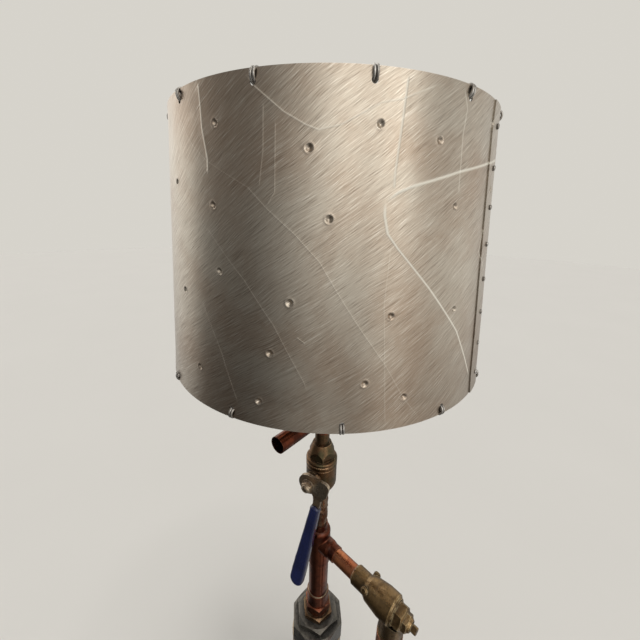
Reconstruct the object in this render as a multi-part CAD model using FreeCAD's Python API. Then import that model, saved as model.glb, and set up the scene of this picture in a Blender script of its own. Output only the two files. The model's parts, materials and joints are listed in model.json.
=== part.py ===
import FreeCAD, Part
import math
import os

os.makedirs("parts", exist_ok=True)

# Pipe-fitting table lamp with a laced sheet-metal drum shade.
# Frame: millimetres, +Z up, origin on the stem's axis at the table, front is -Y, right is +X.
V = FreeCAD.Vector
UP = V(0, 0, 1)

# Clearances
slip = 0.1            # radial play of a soldered or screwed joint
running = 0.06        # radial play of a shaft that turns in its bore
free_gap = 0.3        # gap between faces of pieces that move past each other

# Copper tube
stem_od = 22.0
arm_od = 15.0
drop_od = 22.0
tube_wall = 1.0
fitting_wall = 1.1
socket_depth = 14.0

# Iron floor flange and column
flange_d = 108.0
flange_t = 8.0
flange_hub_d = 66.0
flange_hub_h = 26.0
flange_pcd = 86.0
flange_hole_d = 7.0
flange_sink_d = 13.0
flange_holes = 4
column_od = 48.3
column_wall = 3.7
column_foot = 3.0
grommet_z = 56.0
grommet_bore = 7.2
grommet_neck = 12.0
grommet_flange = 17.0
grommet_lip = 2.2

# Pale brass coupling, iron bushings and the copper adapter above them
coupling_od = 61.0
coupling_length = 80.0
coupling_top = 168.0
coupling_band = 9.0
coupling_band_rise = 0.4
coupling_lip = 2.5
octagon_flats = 58.5
octagon_height = 26.0
octagon_plug = 22.0
octagon_turn = 4.0
iron_hex_flats = 46.0
iron_hex_height = 8.0
iron_hex_turn = 8.0
iron_plug_d = 41.6
iron_plug = 20.0
adapter_thread_d = 26.2
lock_nut_flats = 32.0
lock_nut_height = 7.0
thread_shown = 5.0
adapter_flats = 27.0
adapter_hex_height = 8.0
adapter_cup_d = 25.6
adapter_cup_height = 17.0
adapter_plug = 26.0
solder_bead = 0.9

# Stem and its reducing tee
stem_shown = 51.5
tee_down = 30.0           # from the branch's axis to the tee's lower end
tee_shoulder_up = 13.5
tee_up = 26.5
run_cup_d = 17.4
branch_azimuth = 46.0     # towards the right from the front
branch_cup_end = 26.0     # from the stem's axis
branch_cup_root_d = 19.0
crotch_fillet = 1.5

# Ball valve on the stem
nipple_od = 14.2
nipple_bore = 10.0
nipple_engaged = 9.0
tail_shown = 47.0
valve_neck_d = 17.2
valve_body_d = 30.8
valve_length = 59.0
valve_body_length = 34.5
valve_bore = 13.0
valve_ring_d = 31.2
valve_ring_height = 8.6
valve_groove = 0.7
valve_end_flats = 24.0
valve_chamfer_d = 18.5
spindle_up = 25.5         # from the valve's lower end to the lever's axis
spindle_azimuth = 30.0    # towards the left from the front
ball_d = 21.6
seat_d = 24.6
seat_height = 6.5
spigot = 2.0
boss_d = 14.6
boss_reach = 16.2
packing_d = 10.4
packing_length = 3.2
gland_flats = 15.0
gland_height = 3.2
valve_stem_d = 8.0
tongue_width = 4.0
tongue_depth = 3.0

# Lever
lever_reach = 21.7        # from the stem's axis to the plate's inner face
lever_plate = 3.0
lever_hub_d = 22.0
lever_lug = 21.5
lever_length = 119.0
lever_bend = 10.0         # outward lean of the arm
lever_bend_down = 14.0
arm_top_offset = 10.0
arm_tip_offset = -3.4
arm_width = 7.5
grip_start = 22.0
grip_width = 15.0
grip_top_width = 10.0
grip_thick = 8.0
dome_nut_d = 12.5
dome_nut_height = 8.0

# Upper tee, open side arm and riser
neck_shown = 14.0
tee_half = 18.0
side_arm_reach = 58.7
side_arm_azimuth = 40.0   # towards the left from the front
riser_shown = 38.0
cap_d = 21.0
cap_height = 9.0
threaded_rod_d = 9.6
threaded_rod_length = 34.0

# Lamp socket, bulb and harp
saddle_thick = 1.6
saddle_width = 13.0
saddle_half = 28.0
saddle_ear = 11.0
socket_cap_d = 34.0
socket_d = 39.0
socket_cap_height = 19.0
socket_length = 56.0
socket_wall = 0.8
liner_wall = 0.7
liner_gap = 0.2
core_height = 17.0
core_up = 21.0            # from the socket's foot to the core's underside
screw_shell_d = 28.6
key_up = 30.0
key_shaft_d = 4.8
key_reach = 27.0
key_knob_length = 13.0
key_knob_width = 15.0
key_knob_thick = 5.0
key_neck_d = 9.0
key_neck = 6.0
bulb_base_d = 26.2
bulb_d = 58.0
bulb_length = 86.0
glass_wall = 1.0
harp_wire_d = 3.4
harp_half = 46.0
harp_bend = 30.0
harp_top_up = 155.0       # from the saddle's underside to the arch's crown
harp_seat_d = 18.0
harp_seat_height = 2.5
stud_d = 6.0
stud_height = 15.0

# Shade
shade_bottom = 558.0
shade_height = 168.0
shade_top_d = 214.0
shade_bottom_d = 243.0
sheet = 0.8
lap_degrees = 9.0
lap_azimuth = 51.0
ring_wire_d = 3.2
ring_inset = 2.4
spoke_d = 3.0
spoke_count = 3
spoke_turn = 24.0
hub_d = 24.0
hub_height = 2.0
loops_top = 13
loops_bottom = 12
loops_top_start = -47.2
loops_bottom_start = -56.3
loop_wire = 1.4
loop_reach = 4.6
lace_hole_d = 3.8

# Angle valve on the level branch; distances run along the branch from the stem's axis
casting_start = 52.0
casting_socket_d = 19.4
casting_socket_end = 67.0
casting_waist_d = 24.0
casting_waist = 71.0
casting_d = 28.6
casting_full = 86.0
casting_end = 98.0
branch_engaged = 11.0
seat_at = 72.0
seat_wall = 3.0
seat_hole_d = 9.0
chamber_d = 18.4
lug_count = 3
lug_at = 70.0
lug_d = 7.0
lug_rise = 14.8
lug_turn = 25.0
outlet_at = 96.0
outlet_d = 23.4
outlet_rim_d = 24.4
outlet_rim = 3.0
outlet_low = 289.0
outlet_bore = 17.0
bonnet_collar_d = 26.0
bonnet_collar = 1.6
bonnet_groove_d = 22.0
bonnet_groove = 0.9
bonnet_flats = 20.0
bonnet_hex = 8.0
bonnet_turn = -10.0
bonnet_plug = 5.0
gland_nut_flats = 15.0
gland_nut_length = 6.5
square_side = 6.4
square_length = 5.0
spindle_d = 6.0
spindle_collar_d = 10.0
spindle_collar = 2.2
spindle_screw_d = 7.0
jumper_d = 14.0
jumper_sleeve_d = 10.6
jumper_length = 11.5
jumper_floor = 2.0
jumper_travel = 4.0
drop_collar_d = 24.8
drop_collar = 48.0
foot_d = 60.0
foot_t = 6.0
foot_hub_d = 33.0
foot_hub_h = 16.0
foot_pcd = 47.0
foot_hole_d = 5.0
foot_sink_d = 8.0
foot_holes = 3


# Shape helpers
def closed_wire(points, place):
    """Closed wire through (u, v) points, straight or ('arc', middle, end); place makes a vector."""
    edges = []
    here = place(*points[0])
    for item in points[1:] + [points[0]]:
        if item[0] == "arc":
            there = place(*item[2])
            edges.append(Part.Arc(here, place(*item[1]), there).toShape())
        else:
            there = place(*item)
            if there.distanceToPoint(here) > 1e-6:
                edges.append(Part.LineSegment(here, there).toShape())
        here = there
    return Part.Wire(edges)


def lathe(profile, sweep=360.0):
    """Turned solid from (radius, height) points."""
    wire = closed_wire(profile, lambda r, z: V(r, 0, z))
    return Part.Face(wire).revolve(V(0, 0, 0), UP, sweep)


def tube(outer_d, inner_d, low, high):
    return lathe([(inner_d / 2, low), (outer_d / 2, low), (outer_d / 2, high), (inner_d / 2, high)])


def rod(diameter, low, high):
    return Part.makeCylinder(diameter / 2, high - low, V(0, 0, low))


def prism(sides, flats, low, high, turn=0.0):
    """Regular prism about +Z; turn is in degrees from a flat facing the front."""
    radius = flats / 2 / math.cos(math.pi / sides)
    angles = [math.radians(turn - 90) + math.pi * (2 * k + 1) / sides for k in range(sides)]
    corners = [V(radius * math.cos(a), radius * math.sin(a), low) for a in angles]
    return Part.Face(Part.makePolygon(corners + corners[:1])).extrude(UP * (high - low))


def nut_blank(sides, flats, low, high, chamfer, turn=0.0, both=False):
    """Prism whose corners are turned off at the top, and at the foot too for a loose nut."""
    corner = flats / 2 / math.cos(math.pi / sides)
    drop = (corner - flats / 2 + chamfer) * 0.6
    foot = [(flats / 2 - chamfer, low), (corner, low + drop)] if both else [(corner, low)]
    turned = lathe([(0, low)] + foot + [(corner, high - drop), (flats / 2 - chamfer, high), (0, high)])
    return prism(sides, flats, low, high, turn).common(turned)


def move(shape, origin, direction=UP):
    """Stands a shape made about +Z on origin, with its axis along direction."""
    done = shape.copy()
    done.Placement = FreeCAD.Placement(origin, FreeCAD.Rotation(UP, direction)) * shape.Placement
    return done


def level(azimuth):
    """Level unit vector; azimuth runs from the front towards the right."""
    a = math.radians(azimuth)
    return V(math.sin(a), -math.cos(a), 0)


def around(shape, count, start=0.0):
    """Copies of a shape made at the front, turned about the lamp's axis."""
    copies = []
    for k in range(count):
        copy = shape.copy()
        copy.rotate(V(0, 0, 0), UP, start + k * 360.0 / count)
        copies.append(copy)
    return copies


def export(node, *solids):
    shape = solids[0] if len(solids) == 1 else Part.makeCompound(list(solids))
    shape.exportStep(os.path.join("parts", node + ".step"))


# Heights that follow from the stack of pieces
coupling_low = coupling_top - coupling_length
octagon_top = coupling_top + octagon_height
iron_top = octagon_top + iron_hex_height
lock_nut_top = iron_top + lock_nut_height
adapter_hex_low = lock_nut_top + thread_shown
adapter_hex_top = adapter_hex_low + adapter_hex_height
adapter_top = adapter_hex_top + adapter_cup_height
tee_foot = adapter_top + stem_shown
branch_z = tee_foot + tee_down
tee_head = branch_z + tee_up
valve_low = tee_head + tail_shown
valve_top = valve_low + valve_length
lever_z = valve_low + spindle_up
tee_low = valve_top + neck_shown
arm_z = tee_low + tee_half
tee_top = arm_z + tee_half
cap_top = tee_top + riser_shown + cap_height
saddle_z = cap_top
socket_foot = saddle_z + saddle_thick
socket_top = socket_foot + socket_length
harp_top = saddle_z + harp_top_up
shade_top = shade_bottom + shade_height
stem_bore = stem_od - 2 * tube_wall


# Base: floor flange, column, cord grommet and coupling
def holes(count, pcd, hole_d, sink_d, thick):
    """Countersunk screw holes on a circle, as one cutting shape."""
    sink = (sink_d - hole_d) / 2
    cutter = lathe([(0, -1), (hole_d / 2, -1), (hole_d / 2, thick - sink), (sink_d / 2, thick),
                    (sink_d / 2, thick + 1), (0, thick + 1)])
    cutter.translate(V(0, -pcd / 2, 0))
    return Part.makeCompound(around(cutter, count, 180.0 / count))


def pipe_flange(plate_d, plate_t, hub_top_d, hub_height, bore_d, hole_set):
    rim = plate_t * 0.25
    fillet = 3.0
    hub = hub_top_d / 2
    blank = lathe([(bore_d / 2, 0), (plate_d / 2, 0), (plate_d / 2, plate_t - rim),
                   (plate_d / 2 - rim, plate_t), (hub + fillet, plate_t),
                   ("arc", (hub + fillet * 0.3, plate_t + fillet * 0.3), (hub, plate_t + fillet)),
                   (hub, hub_height - rim), (hub - rim, hub_height), (bore_d / 2, hub_height)])
    return blank.cut(hole_set)


floor_flange = pipe_flange(flange_d, flange_t, flange_hub_d, flange_hub_h, column_od + 2 * slip,
                           holes(flange_holes, flange_pcd, flange_hole_d, flange_sink_d, flange_t))
export("floor_flange", floor_flange)

column_top = coupling_low + coupling_length * 0.45
grommet_hole = move(rod(grommet_neck + 2 * slip, 0, column_od), V(0, 0, grommet_z), V(0, 1, 0))
column = tube(column_od, column_od - 2 * column_wall, column_foot, column_top).cut(grommet_hole)
export("column_nipple", column)

wall_out = column_od / 2
wall_in = wall_out - column_wall
bore_r = grommet_bore / 2
neck_r = grommet_neck / 2
lip_r = grommet_flange / 2
grommet = lathe([(bore_r, wall_in - grommet_lip), (lip_r - 1.5, wall_in - grommet_lip),
                 (lip_r - 1.5, wall_in - slip), (neck_r, wall_in - slip), (neck_r, wall_out + slip),
                 (lip_r, wall_out + slip), (lip_r - 1, wall_out + grommet_lip),
                 (bore_r, wall_out + grommet_lip)])
barrel = tube(column_od + 2 * slip, column_od - 2 * column_wall - 2 * slip, -column_od, column_od)
grommet = move(grommet, V(0, 0, grommet_z), V(0, 1, 0))
grommet = grommet.cut(barrel.copy().translate(V(0, 0, grommet_z))).fuse(
    grommet.common(move(rod(grommet_neck, 0, column_od), V(0, 0, grommet_z), V(0, 1, 0)))).removeSplitter()
export("cord_grommet", grommet)

half = coupling_od / 2
band = half + coupling_band_rise
coupling_bore = (column_od + 2 * slip) / 2
coupling = lathe([(coupling_bore, coupling_low), (band - 1, coupling_low), (band, coupling_low + 1),
                  (band, coupling_low + coupling_band), (half, coupling_low + coupling_band + 1),
                  (half, coupling_top - coupling_band - 1), (band, coupling_top - coupling_band),
                  (band, coupling_top - 1), (band - 1, coupling_top),
                  (coupling_bore + coupling_lip, coupling_top),
                  (coupling_bore, coupling_top - coupling_lip)])
export("base_coupling", coupling)


# Iron bushings, lock nut and copper adapter
octagon = nut_blank(8, octagon_flats, coupling_top, octagon_top, 0.8, octagon_turn)
octagon = octagon.fuse(rod(column_od, coupling_top - octagon_plug, coupling_top))
octagon = octagon.cut(rod(iron_plug_d + 2 * slip, coupling_top - octagon_plug - 1, octagon_top + 1))
export("octagon_bushing", octagon)

iron_hex = nut_blank(6, iron_hex_flats, octagon_top, iron_top, 0.8, 30 + iron_hex_turn)
iron_hex = iron_hex.fuse(rod(iron_plug_d, octagon_top - iron_plug, octagon_top))
iron_hex = iron_hex.cut(rod(adapter_thread_d + 2 * slip, octagon_top - iron_plug - 1, iron_top + 1))
export("hex_bushing", iron_hex)

lock_nut = nut_blank(6, lock_nut_flats, iron_top, lock_nut_top, 0.6, 30 + iron_hex_turn, both=True)
lock_nut = lock_nut.cut(rod(adapter_thread_d + 2 * slip, iron_top - 1, lock_nut_top + 1))
export("lock_nut", lock_nut)

adapter = nut_blank(6, adapter_flats, adapter_hex_low, adapter_hex_top, 0.4, 30 + iron_hex_turn)
adapter = adapter.fuse(rod(adapter_thread_d, adapter_hex_low - adapter_plug, adapter_hex_low))
adapter = adapter.fuse(rod(adapter_cup_d, adapter_hex_top, adapter_top))
adapter = adapter.cut(rod(stem_bore, adapter_hex_low - adapter_plug - 1, adapter_top + 1))
adapter = adapter.cut(rod(stem_od + 2 * slip, adapter_top - socket_depth, adapter_top + 1))
export("copper_adapter", adapter)

lower_stem = tube(stem_od, stem_bore, adapter_top - socket_depth, tee_foot + socket_depth)
export("lower_stem", lower_stem)


# Reducing tee, branch tube and the two solder beads
branch_dir = level(branch_azimuth)
branch_root = V(0, 0, branch_z)


def on_branch(shape):
    """Moves a shape made along +Z onto the branch's axis."""
    return move(shape, branch_root, branch_dir)


run_d = stem_od + 2 * fitting_wall
branch_cup_d = arm_od + 2 * fitting_wall
shoulder = branch_z + tee_shoulder_up
stem_tee = lathe([(0, tee_foot), (run_d / 2, tee_foot), (run_d / 2, shoulder),
                  ("arc", (run_d / 2 - 0.6, shoulder + 3.4), (run_cup_d / 2, shoulder + 6)),
                  (run_cup_d / 2, tee_head), (0, tee_head)])
root_r = branch_cup_root_d / 2
cup_r = branch_cup_d / 2
tee_branch = lathe([(0, 0), (root_r, 0), (root_r, branch_cup_end * 0.62), (cup_r, branch_cup_end * 0.75),
                    (cup_r, branch_cup_end), (0, branch_cup_end)])
stem_tee = stem_tee.fuse(on_branch(tee_branch))
crotch = [e for e in stem_tee.Edges if e.Curve.TypeId == "Part::GeomBSplineCurve"]
stem_tee = stem_tee.makeFillet(crotch_fillet, crotch)
arm_bore = arm_od - 2 * tube_wall
branch_stop = branch_cup_end - 8.0
stem_tee = stem_tee.cut(rod(stem_od + 2 * slip, tee_foot - 1, tee_foot + socket_depth))
stem_tee = stem_tee.cut(rod(stem_bore, tee_foot, shoulder)).cut(rod(arm_bore, shoulder - 1, tee_head + 1))
stem_tee = stem_tee.cut(rod(arm_od + 2 * slip, tee_head - nipple_engaged, tee_head + 1))
stem_tee = stem_tee.cut(on_branch(rod(arm_bore, 0, branch_cup_end + 1)))
stem_tee = stem_tee.cut(on_branch(rod(arm_od + 2 * slip, branch_stop, branch_cup_end + 1)))
export("stem_tee", stem_tee)

branch_end = casting_start + branch_engaged
export("branch_tube", on_branch(tube(arm_od, arm_bore, branch_stop, branch_end)))


def fillet_ring(diameter, low):
    """Bead of solder round a tube where it enters a fitting."""
    inner = diameter / 2 + slip / 2
    crown = solder_bead * 0.75
    return lathe([(inner, low), (inner + solder_bead, low),
                  ("arc", (inner + crown, low + crown), (inner, low + solder_bead))])


valve_bead = move(fillet_ring(arm_od, 0), branch_root + branch_dir * casting_start, branch_dir * -1)
export("solder_fillets", fillet_ring(stem_od, adapter_top), valve_bead)


# Angle valve: casting with its outlet below, bonnet, gland nut, spindle and jumper
def along(profile):
    """Turned solid on the branch's axis from (distance, radius) points."""
    return on_branch(lathe([(r, t) for t, r in profile]))


full = casting_d / 2
casting = along([(casting_start, 0), (casting_start, casting_socket_d / 2 - 1),
                 (casting_start + 1, casting_socket_d / 2), (casting_socket_end, casting_socket_d / 2),
                 (casting_waist, casting_waist_d / 2), (casting_full, full), (casting_end - 1, full),
                 (casting_end, full - 1), (casting_end, 0)])
lug_r = lug_d / 2
lug = lathe([(0, 0), (lug_r, 0), (lug_r, lug_rise - 1.4), (lug_r - 1.4, lug_rise), (0, lug_rise)])
sideways = UP.cross(branch_dir)
for k in range(lug_count):
    angle = math.radians(lug_turn + k * 360.0 / lug_count)
    casting = casting.fuse(move(lug, branch_root + branch_dir * lug_at,
                                sideways * math.cos(angle) + UP * math.sin(angle)))
drop_at = branch_dir * outlet_at


def at_drop(shape):
    return move(shape, drop_at)


rim_r = outlet_rim_d / 2
rim_top = outlet_low + outlet_rim
outlet = at_drop(lathe([(0, outlet_low), (rim_r, outlet_low), (rim_r, rim_top), (outlet_d / 2, rim_top + 1),
                        (outlet_d / 2, branch_z), (0, branch_z)]))
bonnet_room = on_branch(rod(bonnet_collar_d + 2 * free_gap, casting_end, outlet_at + outlet_d))
casting = casting.fuse(outlet.cut(bonnet_room)).removeSplitter()
casting = casting.cut(on_branch(rod(arm_bore, casting_start - 1, seat_at)))
casting = casting.cut(on_branch(rod(arm_od + 2 * slip, casting_start - 1, branch_end)))
casting = casting.cut(on_branch(rod(seat_hole_d, seat_at - 1, seat_at + seat_wall + 1)))
casting = casting.cut(on_branch(rod(chamber_d, seat_at + seat_wall, casting_end + 1)))
drop_top = outlet_low + 10.0
casting = casting.cut(at_drop(rod(outlet_bore, outlet_low, branch_z)).cut(bonnet_room))
casting = casting.cut(at_drop(rod(drop_od + 2 * slip, outlet_low - 1, drop_top)))
export("valve_casting", casting)

collar_end = casting_end + bonnet_collar
groove_end = collar_end + bonnet_groove
bonnet_reach = groove_end + bonnet_hex
plug_low = casting_end - bonnet_plug
bonnet_r = bonnet_collar_d / 2
groove_r = bonnet_groove_d / 2
bonnet = along([(casting_end, 0), (casting_end, bonnet_r - 0.4), (collar_end, bonnet_r - 0.8),
                (collar_end, groove_r), (groove_end, groove_r), (groove_end, 0)])
bonnet = bonnet.fuse(on_branch(nut_blank(6, bonnet_flats, groove_end, bonnet_reach, 1.2, bonnet_turn)))
bonnet = bonnet.fuse(on_branch(rod(chamber_d - 2 * slip, plug_low, casting_end)))
collar_room = plug_low + spindle_collar + 2 * free_gap
bonnet = bonnet.cut(on_branch(rod(spindle_collar_d + 2 * free_gap, plug_low - 1, collar_room)))
bonnet = bonnet.cut(on_branch(rod(spindle_d + 2 * running, plug_low, bonnet_reach + 1)))
export("valve_bonnet", bonnet)

gland_end = bonnet_reach + gland_nut_length
gland_nut = on_branch(nut_blank(6, gland_nut_flats, bonnet_reach, gland_end - 2, 0.5, bonnet_turn + 12))
gland_nut = gland_nut.fuse(along([(gland_end - 2, 0), (gland_end - 2, gland_nut_flats / 2 - 0.7),
                                  (gland_end, gland_nut_flats / 2 - 2.2), (gland_end, 0)]))
gland_nut = gland_nut.cut(on_branch(rod(spindle_d + 2 * running, bonnet_reach - 1, gland_end + 1)))
export("gland_nut", gland_nut)

square_low = gland_end + free_gap
square_end = square_low + square_length
jumper_low = seat_at + seat_wall + free_gap
jumper_bore_low = jumper_low + jumper_floor
screw_low = jumper_bore_low + jumper_travel + free_gap
collar_low = plug_low + free_gap
spindle = on_branch(rod(spindle_d, collar_low, square_low))
spindle = spindle.fuse(on_branch(rod(spindle_collar_d, collar_low, collar_low + spindle_collar)))
spindle = spindle.fuse(on_branch(rod(spindle_screw_d, screw_low, collar_low)))
square = prism(4, square_side, square_low, square_end, bonnet_turn).common(
    lathe([(0, square_low), (square_side * 0.64, square_low), (square_side * 0.64, square_end - 1),
           (square_side * 0.5, square_end), (0, square_end)]))
spindle = spindle.fuse(on_branch(square)).removeSplitter()
export("valve_spindle", spindle)

jumper_rim = jumper_d / 2
sleeve_rim = jumper_sleeve_d / 2
jumper_disc = jumper_low + 3
jumper_top = jumper_low + jumper_length
jumper = along([(jumper_low, 0), (jumper_low, jumper_rim - 1), (jumper_low + 1, jumper_rim),
                (jumper_disc, jumper_rim), (jumper_disc, sleeve_rim), (jumper_top, sleeve_rim),
                (jumper_top, 0)])
jumper = jumper.cut(on_branch(rod(spindle_screw_d + 2 * running, jumper_bore_low, casting_end)))
export("valve_jumper", jumper)


# Drop pipe, its pale collar and the foot
export("drop_pipe", at_drop(tube(drop_od, drop_od - 2 * tube_wall, column_foot, drop_top - slip)))
sleeve_low = outlet_low - drop_collar
sleeve_top = outlet_low - slip
sleeve_r = drop_collar_d / 2
drop_bore = drop_od / 2 + slip
drop_sleeve = lathe([(drop_bore, sleeve_low), (sleeve_r - 1, sleeve_low), (sleeve_r, sleeve_low + 1),
                     (sleeve_r, sleeve_top - 1.2), (sleeve_r - 1.2, sleeve_top), (drop_bore, sleeve_top)])
export("drop_collar", at_drop(drop_sleeve))
foot = pipe_flange(foot_d, foot_t, foot_hub_d, foot_hub_h, drop_od + 2 * slip,
                   holes(foot_holes, foot_pcd, foot_hole_d, foot_sink_d, foot_t))
export("foot_flange", at_drop(foot))


# Ball valve on the stem
outward = level(-spindle_azimuth)
across = V(math.cos(math.radians(spindle_azimuth)), -math.sin(math.radians(spindle_azimuth)), 0)
lever_point = V(0, 0, lever_z)


def on_spindle(shape):
    """Moves a shape made along +Z from the lever's axis onto the valve's spindle."""
    frame = FreeCAD.Matrix(across.x, 0, outward.x, 0,
                           across.y, 0, outward.y, 0,
                           0, 1, 0, lever_z)
    done = shape.copy()
    done.Placement = FreeCAD.Placement(frame) * shape.Placement
    return done


export("tail_tube", tube(arm_od, arm_bore, tee_head - nipple_engaged, valve_low + nipple_engaged))

body_top = valve_low + valve_body_length
chamber_low = lever_z - ball_d / 2 - 2.2
seat_low_high = chamber_low + seat_height
body_r = valve_body_d / 2
valve_body = lathe([(0, valve_low), (valve_neck_d / 2, valve_low), (valve_neck_d / 2, valve_low + 3),
                    ("arc", (body_r - 2.4, valve_low + 7), (body_r, valve_low + 13)),
                    (body_r, body_top - 0.6), (body_r - 0.6, body_top), (0, body_top)])
valve_body = valve_body.fuse(on_spindle(rod(boss_d, body_r * 0.6, boss_reach)))
valve_body = valve_body.cut(rod(nipple_bore, valve_low - 1, body_top))
valve_body = valve_body.cut(rod(arm_od + 2 * slip, valve_low - 1, valve_low + nipple_engaged))
valve_body = valve_body.cut(rod(seat_d + 2 * slip, chamber_low, body_top + 1))
valve_body = valve_body.cut(rod(seat_d + 3.4, body_top - spigot, body_top + 1))
valve_body = valve_body.cut(on_spindle(rod(valve_stem_d + 2 * running, 0, boss_reach + 1)))
packing_low = boss_reach - packing_length
valve_body = valve_body.cut(on_spindle(rod(packing_d, packing_low, boss_reach + 1)))
export("valve_body", valve_body)

ring_low = body_top + slip
ring_top = ring_low + valve_ring_height
ring_r = valve_ring_d / 2
ring_middle = (ring_low + ring_top) / 2
end_cone = lathe([(0, ring_low), (ring_r, ring_low), (ring_r, ring_top),
                  (valve_chamfer_d / 2, valve_top), (0, valve_top)])
end_piece = prism(6, valve_end_flats, ring_top, valve_top, 30 + octagon_turn).common(end_cone)
end_ring = lathe([(0, ring_low), (ring_r, ring_low), (ring_r, ring_middle - valve_groove),
                  (ring_r - valve_groove, ring_middle), (ring_r, ring_middle + valve_groove),
                  (ring_r, ring_top - 2), ("arc", (ring_r - 0.6, ring_top - 0.6), (ring_r - 2, ring_top)),
                  (0, ring_top)])
end_piece = end_piece.fuse(end_ring)
end_piece = end_piece.fuse(tube(seat_d + 3.2, seat_d, body_top - spigot + slip, ring_low))
end_piece = end_piece.cut(rod(nipple_bore, body_top - spigot, valve_top + 1))
seat_high_top = 2 * lever_z - chamber_low
end_piece = end_piece.cut(rod(seat_d + 2 * slip, body_top - spigot - 1, seat_high_top))
end_piece = end_piece.cut(rod(nipple_od + 2 * slip, valve_top - nipple_engaged, valve_top + 1))
export("valve_end_piece", end_piece)

ball_room = Part.makeSphere(ball_d / 2 + free_gap, lever_point)
lower_seat = tube(seat_d, valve_bore, chamber_low, seat_low_high).cut(ball_room)
upper_seat = tube(seat_d, valve_bore, seat_high_top - seat_height, seat_high_top).cut(ball_room)
export("valve_seats", lower_seat, upper_seat)

tongue_low = ball_d / 2 - tongue_depth


def tongue(play):
    """Flat tongue of the valve stem, grown by a play on its sides, which turns the ball."""
    width = tongue_width + 2 * play
    length = valve_stem_d - 1 + 2 * play
    corner = V(-width / 2, -length / 2, tongue_low - play)
    return on_spindle(Part.makeBox(width, length, tongue_depth + 3, corner))


ball = Part.makeSphere(ball_d / 2, lever_point)
ball = ball.cut(rod(valve_bore, lever_z - ball_d, lever_z + ball_d)).cut(tongue(slip))
export("valve_ball", ball)

plate_out = lever_reach + lever_plate
stem_end = plate_out + dome_nut_height * 0.6
valve_stem = on_spindle(rod(valve_stem_d, ball_d / 2 + free_gap, stem_end)).fuse(tongue(0))
export("valve_stem", valve_stem)
stem_hole_d = valve_stem_d + 2 * running
stem_packing = on_spindle(tube(packing_d - 2 * slip, stem_hole_d, packing_low + slip, boss_reach))
export("stem_packing", stem_packing)
nut_low = boss_reach + slip
packing_nut = on_spindle(nut_blank(6, gland_flats, nut_low, nut_low + gland_height, 0.5))
packing_nut = packing_nut.cut(on_spindle(rod(stem_hole_d, boss_reach, lever_reach)))
export("packing_nut", packing_nut)


# Lever: flat hub with a stop lug, then an arm that leans outward under a dipped grip
def outline(points, low, high):
    """Flat plate from (across, up) points."""
    wire = closed_wire(points, lambda x, y: V(x, y, low))
    return Part.Face(wire).extrude(V(0, 0, high - low))


hub_r = lever_hub_d / 2
arm_left = arm_top_offset - arm_width / 2
arm_right = arm_top_offset + arm_width / 2
hub_plate = outline([(0, hub_r), (lever_lug - 4, hub_r - 1.5),
                     ("arc", (lever_lug - 0.6, hub_r - 4), (lever_lug, hub_r - 8)),
                     (lever_lug - 2, -6), (arm_right, -lever_bend_down), (arm_left, -lever_bend_down),
                     (arm_left - 2.5, -hub_r + 1.5), (0, -hub_r), ("arc", (-hub_r, 0), (0, hub_r))],
                    lever_reach, plate_out)
arm_run = lever_length - lever_bend_down
slant = math.degrees(math.atan2(arm_top_offset - arm_tip_offset, arm_run))
arm_end = arm_width / 2
arm_bar = outline([(-arm_end, 0), (arm_end, 0), (arm_end, -arm_run + 6),
                   ("arc", (0, -arm_run + 6 - arm_end), (-arm_end, -arm_run + 6))], 0, lever_plate)


def on_arm(shape):
    """Moves a shape made down the arm, with the bend's inner corner as its origin, into place."""
    done = shape.copy()
    done.rotate(V(0, 0, 0), UP, -slant)
    done.rotate(V(0, 0, 0), V(1, 0, 0), -lever_bend)
    done.translate(V(arm_top_offset, -lever_bend_down, lever_reach))
    return done


lever = hub_plate.fuse(on_arm(arm_bar)).removeSplitter()
lever = on_spindle(lever.cut(rod(valve_stem_d + 2 * slip, 0, plate_out + 1)))
export("lever_arm", lever)

grip_top = -(grip_start - lever_bend_down)
grip_low = -arm_run - 1
side = grip_width / 2
top_side = grip_top_width / 2
grip_body = outline([(-top_side, grip_top - 5), ("arc", (0, grip_top + 1), (top_side, grip_top - 5)),
                     (side, grip_low + 24), (side, grip_low + side * 0.9),
                     ("arc", (0, grip_low), (-side, grip_low + side * 0.9)), (-side, grip_low + 24)],
                    -(grip_thick - lever_plate) / 2, (grip_thick + lever_plate) / 2)
long_edges = [e for e in grip_body.Edges if abs(e.Vertexes[0].Z - e.Vertexes[-1].Z) < 0.01]
grip_body = grip_body.makeFillet(grip_thick * 0.32, long_edges)
room_end = arm_end + slip
grip_room = outline([(-room_end, 5), (room_end, 5), (room_end, -arm_run + 6),
                     ("arc", (0, -arm_run + 6 - room_end), (-room_end, -arm_run + 6))],
                    -slip, lever_plate + slip)
export("lever_grip", on_spindle(on_arm(grip_body.cut(grip_room))))

nut_r = dome_nut_d / 2
dome_top = plate_out + dome_nut_height
dome_nut = lathe([(0, plate_out), (nut_r, plate_out), (nut_r, dome_top - 3),
                  ("arc", (nut_r - 1.2, dome_top - 1), (nut_r - 3.2, dome_top)), (0, dome_top)])
dome_nut = on_spindle(dome_nut.cut(rod(valve_stem_d + 2 * slip, plate_out - 1, stem_end + slip)))
export("lever_nut", dome_nut)


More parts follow.
